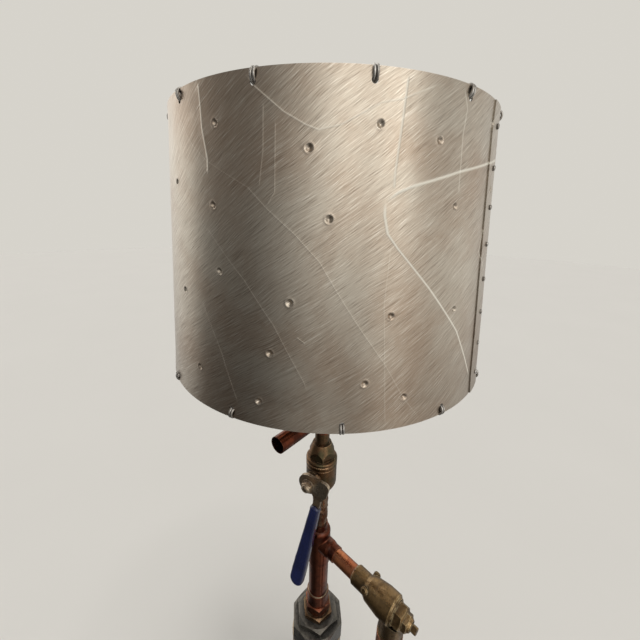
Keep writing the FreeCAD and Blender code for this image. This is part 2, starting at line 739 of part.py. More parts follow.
# Neck nipple, tee, open side arm and riser
neck = tube(nipple_od, nipple_bore, valve_top - nipple_engaged, tee_low + nipple_engaged)
export("neck_nipple", neck)
tee_d = arm_od + 2 * fitting_wall
arm_dir = level(-side_arm_azimuth)
arm_point = V(0, 0, arm_z)
tee = rod(tee_d, tee_low, tee_top).fuse(move(rod(tee_d, 0, tee_half), arm_point, arm_dir))
tee = tee.cut(rod(nipple_bore, tee_low - 1, tee_top))
tee = tee.cut(rod(nipple_od + 2 * slip, tee_low - 1, tee_low + nipple_engaged))
tee = tee.cut(rod(arm_od + 2 * slip, tee_top - nipple_engaged, tee_top + 1))
tee = tee.cut(move(rod(arm_bore, 0, tee_half), arm_point, arm_dir))
tee = tee.cut(move(rod(arm_od + 2 * slip, tee_half - nipple_engaged, tee_half + 1), arm_point, arm_dir))
export("side_tee", tee)
side_arm = move(tube(arm_od, arm_bore, tee_half - nipple_engaged, side_arm_reach), arm_point, arm_dir)
export("side_arm", side_arm)

riser_top = cap_top - 2.0
riser = tube(arm_od, arm_bore, tee_top - nipple_engaged, riser_top - slip)
export("riser_tube", riser)
cap_r = cap_d / 2
cap_low = cap_top - cap_height
riser_cap = lathe([(0, cap_low), (cap_r - 1, cap_low), (cap_r, cap_low + 1), (cap_r, cap_top - 3),
                   ("arc", (cap_r - 0.9, cap_top - 0.9), (cap_r - 3, cap_top)), (0, cap_top)])
riser_cap = riser_cap.cut(rod(arm_od + 2 * slip, 0, riser_top))
riser_cap = riser_cap.cut(rod(threaded_rod_d + 2 * slip, 0, cap_top + 1))
export("riser_cap", riser_cap)
rod_low = socket_foot + 5 - threaded_rod_length
threaded_rod = tube(threaded_rod_d, threaded_rod_d - 3, rod_low, socket_foot + 5)
export("threaded_rod", threaded_rod)
plug = tube(arm_bore - 2 * slip, threaded_rod_d + 2 * slip, rod_low + 2, rod_low + 12)
export("riser_plug", plug)


# Harp saddle, harp and finial
strip_half = saddle_width / 2
saddle = Part.makeBox(saddle_width, 2 * saddle_half, saddle_thick, V(-strip_half, -saddle_half, saddle_z))
for ear in (-1, 1):
    sleeve = tube(harp_wire_d + 3.2, harp_wire_d + 2 * slip, saddle_z, saddle_z + saddle_ear)
    sleeve.translate(V(0, ear * saddle_half, 0))
    room = rod(harp_wire_d + 2 * slip, saddle_z + saddle_thick, saddle_z + saddle_ear)
    room.translate(V(0, ear * saddle_half, 0))
    saddle = saddle.cut(room).fuse(sleeve)
saddle = saddle.cut(rod(threaded_rod_d + 2 * slip, saddle_z - 1, socket_foot + 1))
export("harp_saddle", saddle)

leg_low = saddle_z + saddle_thick + slip
bend_start = saddle_z + saddle_ear + 2
bend_angle = math.acos(1 - (harp_half - saddle_half) / (2 * harp_bend))
bend_rise = 2 * harp_bend * math.sin(bend_angle)


def bend_point(centre_y, centre_z, angle):
    return V(0, centre_y + harp_bend * math.cos(angle), centre_z + harp_bend * math.sin(angle))


foot_end = V(0, saddle_half, bend_start)
outer_centre = (saddle_half + harp_bend, bend_start)
inner_centre = (harp_half - harp_bend, bend_start + bend_rise)
bend_middle = bend_point(*outer_centre, math.pi - bend_angle)
bend_end = V(0, harp_half, bend_start + bend_rise)
crown_start = V(0, harp_half, harp_top - harp_half)
half_path = [Part.LineSegment(V(0, saddle_half, leg_low), foot_end).toShape(),
             Part.Arc(foot_end, bend_point(*outer_centre, math.pi - bend_angle / 2), bend_middle).toShape(),
             Part.Arc(bend_middle, bend_point(*inner_centre, -bend_angle / 2), bend_end).toShape(),
             Part.LineSegment(bend_end, crown_start).toShape()]
crown_step = harp_half * math.sin(math.pi / 4)
crown_middle = V(0, crown_step, harp_top - harp_half + crown_step)
half_path.append(Part.Arc(crown_start, crown_middle, V(0, 0, harp_top)).toShape())
foot_circle = Part.Wire(Part.makeCircle(harp_wire_d / 2, V(0, saddle_half, leg_low), UP))
half_harp = Part.Wire(half_path).makePipeShell([foot_circle], True, False)
other_half = half_harp.mirror(V(0, 0, 0), V(0, 1, 0))
seat_low = harp_top - harp_wire_d / 2
seat_top = seat_low + harp_seat_height + harp_wire_d / 2
harp = half_harp.fuse(other_half).fuse(rod(harp_seat_d, harp_top, seat_top))
harp = harp.fuse(rod(stud_d, harp_top, seat_top + stud_height))
export("harp", harp)

hub_low = seat_top
hub_high = hub_low + hub_height
finial_low = hub_high + slip
finial = lathe([(0, finial_low), (6, finial_low), (6, finial_low + 3), (4, finial_low + 4.5),
                ("arc", (7.2, finial_low + 10), (4, finial_low + 15.5)), (0, finial_low + 17)])
finial = finial.cut(rod(stud_d + 2 * slip, finial_low - 1, seat_top + stud_height + slip))
export("finial", finial)


# Lamp socket with its turn key, and the bulb
cap_low_r = socket_cap_d / 2
shell_r = socket_d / 2
cap_rim = socket_foot + socket_cap_height
socket_cap = lathe([(threaded_rod_d / 2 + slip, socket_foot), (cap_low_r - 4, socket_foot),
                    ("arc", (cap_low_r - 1, socket_foot + 1.5), (cap_low_r, socket_foot + 5)),
                    (shell_r + 0.6, cap_rim - 4), (shell_r + 0.6, cap_rim), (shell_r - 0.1, cap_rim),
                    (shell_r - 0.1, cap_rim - 4), (cap_low_r - socket_wall, socket_foot + 5),
                    (cap_low_r - 4, socket_foot + 1.4), (threaded_rod_d / 2 + slip, socket_foot + 1.4)])
export("socket_cap", socket_cap)

key_z = socket_foot + key_up
key_point = V(0, 0, key_z)
key_dir = V(1, 0, 0)
shell_low = cap_rim - 4 + liner_gap
shell_in = shell_r - 0.2 - socket_wall
liner_out = 2 * (shell_in - liner_gap)
liner_in = liner_out - 2 * liner_wall
core_d = liner_in - 2 * liner_gap
key_hole = move(rod(key_shaft_d + 4, core_d / 2 - 2, socket_d), key_point, key_dir)
socket_shell = lathe([(shell_in, shell_low), (shell_r - 0.2, shell_low), (shell_r - 0.2, socket_top - 4),
                      (shell_r + 0.8, socket_top - 2.5), (shell_r + 0.8, socket_top - 1),
                      (shell_r - 0.4, socket_top), (shell_in, socket_top)]).cut(key_hole)
export("socket_shell", socket_shell)
liner = tube(liner_out, liner_in, shell_low + 1, socket_top - 0.5).cut(key_hole)
export("socket_liner", liner)

core_low = socket_foot + core_up
core_top = core_low + core_height
core_r = core_d / 2
core = lathe([(0, core_low), (core_r - 1, core_low), (core_r, core_low + 1), (core_r, core_top - 2),
              (screw_shell_d / 2, core_top), (0, core_top)])
core = core.cut(move(rod(key_shaft_d + 2 * running, 0, core_d), key_point, key_dir))
export("socket_core", core)
screw_in = screw_shell_d - 1.0
contact_h = 2.5
screw_shell = tube(screw_shell_d, screw_in, core_top + slip, socket_top - 2)
export("screw_shell", screw_shell)
contact = rod(6.0, core_top, core_top + contact_h)
export("centre_contact", contact)

shaft_low = 3.0
key_shaft = move(rod(key_shaft_d, shaft_low, key_reach + 2), key_point, key_dir)
export("key_shaft", key_shaft)
knob_corner = V(-key_knob_thick / 2, -key_knob_width / 2, key_reach)
knob = Part.makeBox(key_knob_thick, key_knob_width, key_knob_length, knob_corner)
knob = knob.makeFillet(1.8, knob.Edges)
knob = knob.fuse(rod(key_neck_d, key_reach, key_reach + key_neck))
knob = knob.cut(rod(key_shaft_d + 2 * slip, 0, key_reach + 2 + slip))
export("key_knob", move(knob, key_point, key_dir))

base_low = core_top + contact_h + slip
base_r = bulb_base_d / 2
bulb_foot = socket_top + 1.0
bulb_base = lathe([(0, base_low), (5, base_low), (base_r - 2, base_low + 3), (base_r, base_low + 5),
                   (base_r, bulb_foot), (0, bulb_foot)])
export("bulb_base", bulb_base)


def bulb_profile(inset):
    """Half outline of the glass, inset by a wall."""
    r = bulb_d / 2 - inset
    ball_z = bulb_foot + bulb_length - bulb_d / 2
    neck_r = base_r - 0.3 - inset
    ease = math.radians(28)
    return [(0, bulb_foot + inset), (neck_r, bulb_foot + inset), (neck_r + 0.8, bulb_foot + 12),
            ("arc", ((neck_r + r) / 2, ball_z - r * 0.92),
             (r * math.cos(ease), ball_z - r * math.sin(ease))),
            ("arc", (r, ball_z), (r * math.cos(ease), ball_z + r * math.sin(ease))),
            ("arc", (r * 0.5, ball_z + r * math.sqrt(0.75)), (0, ball_z + r))]


bulb = lathe(bulb_profile(0)).cut(lathe(bulb_profile(glass_wall)))
export("bulb_glass", bulb)


# Shade: lapped sheet, two rim wires, spider and wire laces
top_r = shade_top_d / 2
bottom_r = shade_bottom_d / 2
slope = (bottom_r - top_r) / shade_height


def shade_r(z):
    """Outer radius of the sheet at a height."""
    return top_r + slope * (shade_top - z)


def sheet_ring(out_by, sweep=360.0):
    return lathe([(bottom_r + out_by - sheet, shade_bottom), (bottom_r + out_by, shade_bottom),
                  (top_r + out_by, shade_top), (top_r + out_by - sheet, shade_top)], sweep)


lap = sheet_ring(sheet, lap_degrees)
lap.rotate(V(0, 0, 0), UP, lap_azimuth - 90.0)
shade_sheet = sheet_ring(0).fuse(lap)
hoop_r = ring_wire_d / 2
ring_top_z = shade_top - ring_inset
ring_low_z = shade_bottom + ring_inset
lace_middle = loop_reach - loop_wire / 2
lace_offset = 0.9
lace_to_sheet = hoop_r + slip + sheet / 2 - lace_offset
hole_drop = ring_inset + math.sqrt(lace_middle ** 2 - lace_to_sheet ** 2)


def lace_hole(z):
    return move(rod(lace_hole_d, shade_r(z) - 4, shade_r(z) + 4), V(0, 0, z), V(0, -1, 0))


lace_cuts = around(lace_hole(shade_top - hole_drop), loops_top, loops_top_start)
lace_cuts += around(lace_hole(shade_bottom + hole_drop), loops_bottom, loops_bottom_start)
shade_sheet = shade_sheet.cut(Part.makeCompound(lace_cuts))
export("shade_sheet", shade_sheet)


def rim_wire(z):
    """Round wire hoop just inside the sheet, eight-sided in section."""
    radius = shade_r(z) - sheet - hoop_r - slip
    corners = [(radius + hoop_r * math.cos(math.radians(45 * k + 22.5)),
                z + hoop_r * math.sin(math.radians(45 * k + 22.5))) for k in range(8)]
    return lathe(corners)


export("top_ring", rim_wire(ring_top_z))
export("bottom_ring", rim_wire(ring_low_z))


def lace(z_rim, sense):
    """Wire loop through the hole, round the hoop and over the rim, at the front."""
    hoop_z = z_rim - sense * ring_inset
    hoop = shade_r(hoop_z) - sheet - hoop_r - slip
    centre = V(0, -(hoop + lace_offset), hoop_z)
    ring = tube(2 * loop_reach, 2 * (loop_reach - loop_wire), -loop_wire / 2, loop_wire / 2)
    return move(ring, centre, V(1, 0, 0))


export("top_laces", *around(lace(shade_top, 1), loops_top, loops_top_start))
export("bottom_laces", *around(lace(shade_bottom, -1), loops_bottom, loops_bottom_start))

spoke_out = shade_r(ring_top_z) - sheet - 2 * hoop_r - 2 * slip
spoke_start = V(0, -hub_d / 2 + 2, hub_low + hub_height / 2)
spoke_run = V(0, -spoke_out, ring_top_z) - spoke_start
spoke = move(rod(spoke_d, 0, spoke_run.Length), spoke_start, spoke_run)
spider = tube(hub_d, stud_d + 2 * running, hub_low, hub_high)
for arm in around(spoke, spoke_count, spoke_turn):
    spider = spider.fuse(arm)
spider = spider.cut(rod(stud_d + 2 * running, hub_low - 5, hub_high + 5))
spider = spider.cut(rod(harp_seat_d + 2, hub_low - 5, hub_low)).cut(rod(14.5, hub_high, hub_high + 5))
export("spider", spider)
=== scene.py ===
# Looks of the pipe-fitting table lamp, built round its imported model.
import json
from math import atan2, cos, exp, pi, radians, sin

import bmesh
import bpy
from mathutils import Matrix, Vector, noise


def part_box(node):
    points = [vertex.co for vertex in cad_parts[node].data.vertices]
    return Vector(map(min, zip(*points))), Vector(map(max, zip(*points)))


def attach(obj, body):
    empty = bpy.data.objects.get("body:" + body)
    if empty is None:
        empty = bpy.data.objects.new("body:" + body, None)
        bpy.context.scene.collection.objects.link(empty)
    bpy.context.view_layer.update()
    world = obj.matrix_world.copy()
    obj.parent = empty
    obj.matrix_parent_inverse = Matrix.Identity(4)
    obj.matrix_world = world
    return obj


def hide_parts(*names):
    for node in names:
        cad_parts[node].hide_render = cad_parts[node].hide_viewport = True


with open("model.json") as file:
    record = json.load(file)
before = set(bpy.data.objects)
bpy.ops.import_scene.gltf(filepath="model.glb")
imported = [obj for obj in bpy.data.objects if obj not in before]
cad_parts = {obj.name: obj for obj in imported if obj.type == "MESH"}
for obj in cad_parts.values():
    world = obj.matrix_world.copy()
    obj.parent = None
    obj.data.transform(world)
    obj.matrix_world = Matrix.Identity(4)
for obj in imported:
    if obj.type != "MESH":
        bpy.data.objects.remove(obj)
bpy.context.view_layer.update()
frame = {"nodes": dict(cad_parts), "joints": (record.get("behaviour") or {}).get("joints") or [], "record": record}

bl_info = {
    "name": "Pipe lamp looks",
    "version": (1, 0, 0),
    "blender": (4, 5, 0),
    "location": "View3D > Sidebar > Pipe lamp",
    "description": "Models the laced shade and small fittings of a pipe lamp and finishes every piece",
    "category": "Object",
}

MM = 0.001


# Places read from the frame
def reach_along(name, origin, axis):
    """Lowest and highest reach of a node's points along an axis from an origin."""
    reach = [(v.co - origin).dot(axis) for v in frame["nodes"][name].data.vertices]
    return min(reach), max(reach)


def widest(name, origin, axis, low, high):
    """Largest distance from an axis of a node's points between two reaches along it."""
    best = 0.0
    for v in frame["nodes"][name].data.vertices:
        offset = v.co - origin
        run = offset.dot(axis)
        if low <= run <= high:
            best = max(best, (offset - axis * run).length)
    return best


# The top ring's outermost line lies this far inside the sheet's outer face
RING_TO_SKIN = 0.95 * MM
ORIGIN = Vector((0, 0, 0))
UP = Vector((0, 0, 1))
SHADE_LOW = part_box("shade_sheet")[0].z
SHADE_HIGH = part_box("shade_sheet")[1].z
SHADE_HEIGHT = SHADE_HIGH - SHADE_LOW
SHADE_LOW_R = -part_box("shade_sheet")[0].x
SHADE_HIGH_R = widest("top_ring", ORIGIN, UP, SHADE_LOW, SHADE_HIGH) + RING_TO_SKIN
SHADE_MEAN_R = SHADE_LOW_R * 0.95
LEVER = next(joint for joint in frame["joints"] if joint["name"] == "lever_turn")
LEVER_DIR = Vector(LEVER["axis"]).normalized()
LEVER_POINT = Vector(LEVER["pos_m"])

# Where the lapped seam begins, towards the right from the front, and how far round it goes
LAP_START = radians(51.0)
LAP_WIDTH = radians(9.0)

# Where the punched dimples sit on the shade: degrees towards the right from the front,
# and millimetres below its top rim
DIMPLES = [(-31, 19), (-6, 31), (10, 21), (26, 25), (51, 11), (60, 21), (-51, 43), (-32, 55), (-1, 60),
           (33, 53), (55, 43), (60, 66), (-30, 87), (-47, 102), (-10, 99), (15, 105), (36, 106), (-15, 126),
           (-39, 145), (9, 140), (20, 150), (-18, 154)]

# Creases down the sheet: strength of relief and painted highlight, then (degrees, millimetres below the top rim)
CREASES_DOWN = [
    (0.7, [(-37, 1), (-36, 20), (-34, 34), (-34, 41)]),
    (0.22, [(-52, 5), (-41, 26), (-34, 35), (-21, 47), (-16, 56), (-9, 67), (-3, 79), (3, 98), (8, 113),
            (14, 130), (20, 151), (26, 167)]),
    (0.18, [(-60, 46), (-34, 67), (-22, 90), (-14, 111), (-6, 140), (-5, 146)]),
    (0.18, [(-57, 89), (-37, 106), (-30, 130), (-24, 159)]),
    (0.22, [(-17, 13), (-17, 32), (-18, 47)]),
    (0.22, [(-14, 20), (-14, 38), (-14, 49), (-16, 55)]),
    (0.8, [(16, 2), (15, 22), (14, 40), (14, 47)]),
    (1.1, [(12, 51), (12, 58), (13, 66), (16, 73), (26, 93), (38, 119), (50, 156)]),
    (0.5, [(33, 2), (35, 10), (34, 21), (34, 47)]),
    (0.2, [(14, 71), (13, 99), (14, 130), (15, 166)]),
    (0.8, [(60, 58), (51, 65), (49, 77), (56, 90)]),
    (0.3, [(-8, 116), (-6, 119)]),
]
# Creases that run across it
CREASES_ACROSS = [
    (0.45, [(-22, 1), (-19, 7), (-12, 17), (-7, 22), (-4, 24), (1, 22), (5, 18), (10, 13), (15, 11),
            (25, 3)]),
    (1.1, [(12, 52), (15, 48), (19, 45), (34, 37), (61, 26)]),
]

# The room that the metals mirror: walls, a high window in front and a bright right side. Each has its
# brightness by azimuth and its share by elevation, both in degrees.
ROOM = [
    ([(-180, 0.85), (-118, 1.05), (-104, 0.8), (-93, 0.19), (-60, 0.14), (-46, 0.15), (-33, 0.25),
      (-20, 0.42), (-8, 0.6), (4, 0.68), (16, 0.58), (34, 0.5), (46, 0.2), (60, 0.0), (120, 0.0),
      (150, 0.4), (180, 0.85)],
     [(-60, 0.2), (-40, 0.22), (-30, 0.27), (-22, 0.4), (-14, 0.52), (0, 0.7), (14, 0.9), (22, 1.0),
      (60, 0.8)]),
    ([(-40, 0.0), (-20, 0.06), (-6, 0.2), (2, 0.45), (10, 0.85), (18, 0.4), (28, 0.3), (40, 0.95),
      (50, 0.5), (58, 0.0)],
     [(-30, 0.0), (-5, 0.0), (6, 0.25), (14, 0.6), (22, 1.0), (60, 1.0)]),
    ([(20, 0.0), (34, 0.35), (44, 0.62), (56, 0.62), (66, 0.54), (90, 0.56), (106, 0.64), (140, 0.3),
      (160, 0.0)],
     [(-60, 0.5), (-40, 0.45), (-30, 0.5), (-22, 0.68), (-14, 0.85), (0, 1.0), (14, 0.9), (22, 0.7),
      (60, 0.5)]),
]
ROOM_PEAK = 1.5
ROOM_TINT = (1.0, 0.965, 0.91, 1.0)

# The soft sun: its way down and the angle it fills
SUN_WAY = Vector((-0.22, 0.13, -1.0))
SUN_ANGLE = radians(24)

# The photograph's camera: its place, its tilt below level, its roll and its focal length over the frame
CAMERA_AT = (-0.005, -0.263, 0.670)
CAMERA_TILT = 18.9
CAMERA_ROLL = 1.33
CAMERA_FOCUS = 322.0 / 640.0
SENSOR = 36.0


# Settings a user would change
def length_setting(name, description, default, low, high):
    return bpy.props.FloatProperty(name=name, description=description, default=default, min=low, max=high,
                                   unit="LENGTH")


def colour_setting(name, description, default):
    return bpy.props.FloatVectorProperty(name=name, description=description, default=default,
                                         subtype="COLOR", min=0.0, max=1.0)


class PipeLampShade(bpy.types.PropertyGroup):
    sheet: length_setting("Sheet", "Thickness of the shade's sheet", 0.6 * MM, 0.3 * MM, 2 * MM)
    slack: length_setting("Slack", "How far the hand-rolled sheet wanders inward", 0.7 * MM, 0.0, 2 * MM)
    dimple_depth: length_setting("Dimple depth", "Depth of the punched dimples", 1.15 * MM, 0.0, 2 * MM)
    dimple_radius: length_setting("Dimple radius", "Radius of the punched dimples", 1.8 * MM, MM, 5 * MM)
    lap_start: bpy.props.FloatProperty(
        name="Lap start", description="Where the lapped seam begins, towards the right from the front",
        default=LAP_START, subtype="ANGLE")
    lap_width: bpy.props.FloatProperty(
        name="Lap width", description="Angle that the lapped seam covers", default=LAP_WIDTH,
        subtype="ANGLE")
    colour: colour_setting("Colour", "Colour of the brushed sheet", (0.60, 0.545, 0.46))


class PipeLampFinish(bpy.types.PropertyGroup):
    copper: colour_setting("Copper", "Colour of bright copper tube", (0.62, 0.235, 0.105))
    brass: colour_setting("Brass", "Colour of the pale brass coupling", (0.55, 0.46, 0.34))
    grip: colour_setting("Grip", "Colour of the dipped grip", (0.006, 0.010, 0.05))


class PipeLampStage(bpy.types.PropertyGroup):
    floor: colour_setting("Floor", "Colour of the floor", (0.66, 0.635, 0.585))
    backdrop: colour_setting("Backdrop", "Colour behind the lamp", (0.675, 0.652, 0.60))
    key: bpy.props.FloatProperty(name="Sun", description="Strength of the soft sun", default=1.3, min=0.0)
    fill: bpy.props.FloatProperty(name="Fill", description="Level of the plain light", default=0.58, min=0.0)
    room: bpy.props.FloatProperty(
        name="Room", description="Brightness of what the metals mirror", default=1.35, min=0.0)


# Selection and editing helpers
def select_none():
    if bpy.context.object and bpy.context.object.mode != "OBJECT":
        bpy.ops.object.mode_set(mode="OBJECT")
    bpy.ops.object.select_all(action="DESELECT")


def select_only(piece):
    select_none()
    piece.select_set(True)
    bpy.context.view_layer.objects.active = piece


def renamed(piece, name):
    piece.name = piece.data.name = name
    return piece


def added(name):
    """Names the object that an operator has just added."""
    return renamed(bpy.context.active_object, name)


def bake():
    """Puts the active object's place, turn and scale into its mesh."""
    bpy.ops.object.transform_apply(location=True, rotation=True, scale=True)


def primitive(kind, name, scale=(1.0, 1.0, 1.0), turn=0.0, **settings):
    """Adds a primitive mesh, scaled and turned about Z where it stands, under a name."""
    select_none()
    getattr(bpy.ops.mesh, "primitive_" + kind + "_add")(**settings)
    piece = added(name)
    piece.scale = scale
    piece.rotation_euler.z = turn
    bake()
    return piece


def edit_all():
    """Enters edit mode with everything selected."""
    bpy.ops.object.mode_set(mode="EDIT")
    bpy.ops.mesh.select_all(action="SELECT")


def leave_edit():
    bpy.ops.object.mode_set(mode="OBJECT")


def pick(piece, wanted, kind="FACE"):
    """In edit mode, selects just the faces, edges or vertices that wanted() accepts."""
    bpy.ops.mesh.select_mode(type=kind)
    bpy.ops.mesh.select_all(action="DESELECT")
    mesh = bmesh.from_edit_mesh(piece.data)
    parts = {"FACE": mesh.faces, "EDGE": mesh.edges, "VERT": mesh.verts}[kind]
    for part in parts:
        if wanted(part):
            part.select_set(True)
    mesh.select_flush_mode()
    bmesh.update_edit_mesh(piece.data)


def apply_modifier(piece, kind, **settings):
    """Adds a modifier with its settings and applies it."""
    select_only(piece)
    modifier = piece.modifiers.new(kind.title(), kind)
    for name, value in settings.items():
        setattr(modifier, name, value)
    bpy.ops.object.modifier_apply(modifier=modifier.name)


def stand_on(piece, origin, axis):
    """Moves a piece made about +Z to origin, with its axis along axis, into its own mesh."""
    select_only(piece)
    piece.matrix_world = Matrix.Translation(origin) @ axis.to_track_quat("Z", "Y").to_matrix().to_4x4()
    bake()


def cut_with(piece, cutter):
    """Takes a cutter's shape out of a piece and drops the cutter."""
    apply_modifier(piece, "BOOLEAN", operation="DIFFERENCE", solver="EXACT", object=cutter)
    bpy.data.objects.remove(cutter)


def join(pieces):
    """Joins pieces into the first."""
    select_none()
    for piece in pieces:
        piece.select_set(True)
    bpy.context.view_layer.objects.active = pieces[0]
    bpy.ops.object.join()
    return pieces[0]


def settle(piece, body, slot, smooth=35.0, finish=None):
    """Cleans a finished mesh, gives it its slot's finish or another, and lets it ride on its body."""
    select_only(piece)
    bake()
    edit_all()
    bpy.ops.mesh.remove_doubles(threshold=0.01 * MM)
    bpy.ops.mesh.normals_make_consistent(inside=False)
    leave_edit()
    bpy.ops.object.shade_smooth_by_angle(angle=radians(smooth))
    piece.data.materials.clear()
    piece.data.materials.append(FINISHES[finish or slot])
    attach(piece, body)
    select_none()


# Node helpers
def colour(red, green, blue):
    """Linear colour from the usual 0 to 255 values."""
    def linear(value):
        value = value / 255.0
        return value / 12.92 if value <= 0.04045 else ((value + 0.055) / 1.055) ** 2.4
    return (linear(red), linear(green), linear(blue), 1.0)


def opaque(rgb):
    return (rgb[0], rgb[1], rgb[2], 1.0)


def node(tree, kind, inputs=None, **settings):
    """Adds a shader node; an input given as a socket is linked, any other is its value."""
    made = tree.nodes.new("ShaderNode" + kind)
    for name, value in settings.items():
        setattr(made, name, value)
    for name, value in (inputs or {}).items():
        if isinstance(value, bpy.types.NodeSocket):
            tree.links.new(value, made.inputs[name])
        else:
            made.inputs[name].default_value = value
    return made


def maths(tree, operation, first, second=0.0, clamp=False):
    made = node(tree, "Math", {0: first, 1: second}, operation=operation, use_clamp=clamp)
    return made.outputs[0]


def times(tree, first, second, clamp=False):
    return maths(tree, "MULTIPLY", first, second, clamp)


def plus(tree, first, second):
    return maths(tree, "ADD", first, second)


def minus(tree, first, second, clamp=False):
    return maths(tree, "SUBTRACT", first, second, clamp)


def blend(tree, factor, first, second):
    """Mixes two colours by a factor."""
    return node(tree, "Mix", {0: factor, 6: first, 7: second}, data_type="RGBA").outputs[2]


def coated(tree, paint, *coats):
    """Lays coats, each a mask and its colour, over a colour."""
    for mask, over in coats:
        paint = blend(tree, mask, paint, over)
    return paint


def spread(tree, value, low, high, to_low=0.0, to_high=1.0):
    """Maps a value's range smoothly onto another one."""
    made = node(tree, "MapRange", {0: value, 1: low, 2: high, 3: to_low, 4: to_high},
                interpolation_type="SMOOTHSTEP")
    return made.outputs[0]


def spread_evenly(tree, value, low, high):
    """Maps a value's range straight onto 0 to 1."""
    return node(tree, "MapRange", {0: value, 1: low, 2: high}).outputs[0]


def effect(name, inputs, outputs):
    """An empty node group with its inputs and float outputs, and its two ends."""
    group = bpy.data.node_groups.new(name, "ShaderNodeTree")
    for label, value in inputs.items():
        kind = "NodeSocketVector" if isinstance(value, tuple) else "NodeSocketFloat"
        socket = group.interface.new_socket(name=label, in_out="INPUT", socket_type=kind)
        socket.default_value = value
    for label in outputs:
        group.interface.new_socket(name=label, in_out="OUTPUT", socket_type="NodeSocketFloat")
    start = group.nodes.new("NodeGroupInput")
    end = group.nodes.new("NodeGroupOutput")
    return group, start.outputs, end.inputs


def place(tree, name, inputs=None):
    """Places a finished effect in a material."""
    return node(tree, "Group", inputs, node_tree=bpy.data.node_groups[name]).outputs


def here(tree):
    return node(tree, "TexCoord").outputs["Object"]


def facing(tree):
    return node(tree, "NewGeometry").outputs["Normal"]


def grain(tree, scale, detail, vector=None, **more):
    """Value of a noise texture, at the piece's own place unless a vector is given."""
    inputs = {"Vector": vector or here(tree), "Scale": scale, "Detail": detail, **more}
    return node(tree, "TexNoise", inputs).outputs[0]


# Effects that several finishes share
def make_edge_wear():
    """Where handling has rubbed the corners bright."""
    group, given, out = effect("Edge wear", {"Radius": 0.0006, "Gain": 6.0, "Scale": 180.0}, ["Mask"])
    soft = node(group, "Bevel", {"Radius": given["Radius"]}, samples=4).outputs[0]
    agree = node(group, "VectorMath", {0: soft, 1: facing(group)}, operation="DOT_PRODUCT")
    edge = times(group, minus(group, 1.0, agree.outputs["Value"]), given["Gain"])
    rubbed = grain(group, given["Scale"], 4.0)
    broken = times(group, edge, spread(group, rubbed, 0.35, 0.62))
    group.links.new(maths(group, "MINIMUM", broken, 1.0), out["Mask"])


def make_hollow_shade_and_grime():
    """Mask of the hollows that ambient occlusion finds: painted shade there, with grime that stays where a cloth
    doesn't reach.
    """
    group, given, out = effect("Hollow grime", {"Reach": 0.006, "Gain": 1.4, "Scale": 120.0}, ["Mask"])
    open_sky = node(group, "AmbientOcclusion", {"Distance": given["Reach"]}, samples=6)
    closed = minus(group, 1.0, open_sky.outputs["AO"])
    specks = grain(group, given["Scale"], 5.0)
    uneven = times(group, closed, spread(group, specks, 0.2, 0.7, 0.5, 1.2))
    group.links.new(times(group, uneven, given["Gain"], clamp=True), out["Mask"])


def make_patina():
    """Large soft clouds with small flecks in them."""
    group, given, out = effect("Patina", {"Scale": 40.0, "Low": 0.42, "High": 0.62}, ["Clouds", "Flecks"])
    cloud = grain(group, given["Scale"], 6.0, Roughness=0.62, Distortion=0.4)
    fleck = grain(group, times(group, given["Scale"], 9.0), 3.0)
    group.links.new(spread(group, cloud, given["Low"], given["High"]), out["Clouds"])
    group.links.new(spread(group, fleck, 0.52, 0.68), out["Flecks"])


def make_cast_grain():
    """Sand-cast skin: fine grain with scattered pits."""
    group, given, out = effect("Cast grain", {"Scale": 700.0, "Pits": 0.5}, ["Height", "Pits"])
    fine = grain(group, given["Scale"], 3.0)
    wide = times(group, given["Scale"], 0.45)
    cells = node(group, "TexVoronoi", {"Vector": here(group), "Scale": wide})
    pit = times(group, spread(group, cells.outputs["Distance"], 0.05, 0.3, 1.0, 0.0), given["Pits"])
    group.links.new(minus(group, fine, pit), out["Height"])
    group.links.new(pit, out["Pits"])


def make_drawn_marks():
    """Fine scratches along the length a Mapping node has turned upright."""
    group, given, out = effect("Drawn marks", {"Vector": (0.0, 0.0, 0.0), "Scale": 900.0}, ["Height"])
    thin = node(group, "Mapping", {"Vector": given["Vector"], "Scale": (1.0, 1.0, 0.03)})
    marks = grain(group, given["Scale"], 4.0, thin.outputs[0], Roughness=0.7)
    group.links.new(marks, out["Height"])


def make_dust():
    """A little dust on what faces up."""
    group, given, out = effect("Dust", {"Amount": 0.25, "Scale": 260.0}, ["Mask"])
    upward = node(group, "SeparateXYZ", {0: facing(group)}).outputs["Z"]
    film = grain(group, given["Scale"], 5.0)
    lying = times(group, spread(group, upward, 0.35, 0.95), spread(group, film, 0.35, 0.7))
    group.links.new(times(group, lying, given["Amount"]), out["Mask"])


def make_crease():
    """A folded line: its offset from the line's path in metres, and how far along it runs, 0 to 1."""
    group, given, out = effect("Crease", {"Offset": 0.0, "Along": 0.5, "Width": 0.00055, "Depth": 1.0},
                               ["Height", "Line"])
    near = maths(group, "DIVIDE", maths(group, "ABSOLUTE", given["Offset"]), given["Width"])
    line = spread(group, near, 0.0, 1.0, 1.0, 0.0)
    flank = spread(group, near, 0.0, 4.0, 1.0, 0.0)
    start = spread(group, given["Along"], 0.0, 0.06)
    stop = spread(group, given["Along"], 0.94, 1.0, 1.0, 0.0)
    shown = times(group, times(group, start, stop), given["Depth"])
    fold = plus(group, times(group, line, 0.55), times(group, flank, 0.45))
    group.links.new(times(group, fold, shown), out["Height"])
    # The narrow line alone is given out for the painted highlight along the fold
    group.links.new(times(group, line, shown), out["Line"])


EFFECTS = (make_edge_wear, make_hollow_shade_and_grime, make_patina, make_cast_grain, make_drawn_marks, make_dust,
           make_crease)


# Finishes
def new_finish(name):
    """A material with its shader, ready for its nodes."""
    material = bpy.data.materials.new(name)
    material.use_nodes = True
    tree = material.node_tree
    return material, tree, tree.nodes["Principled BSDF"]


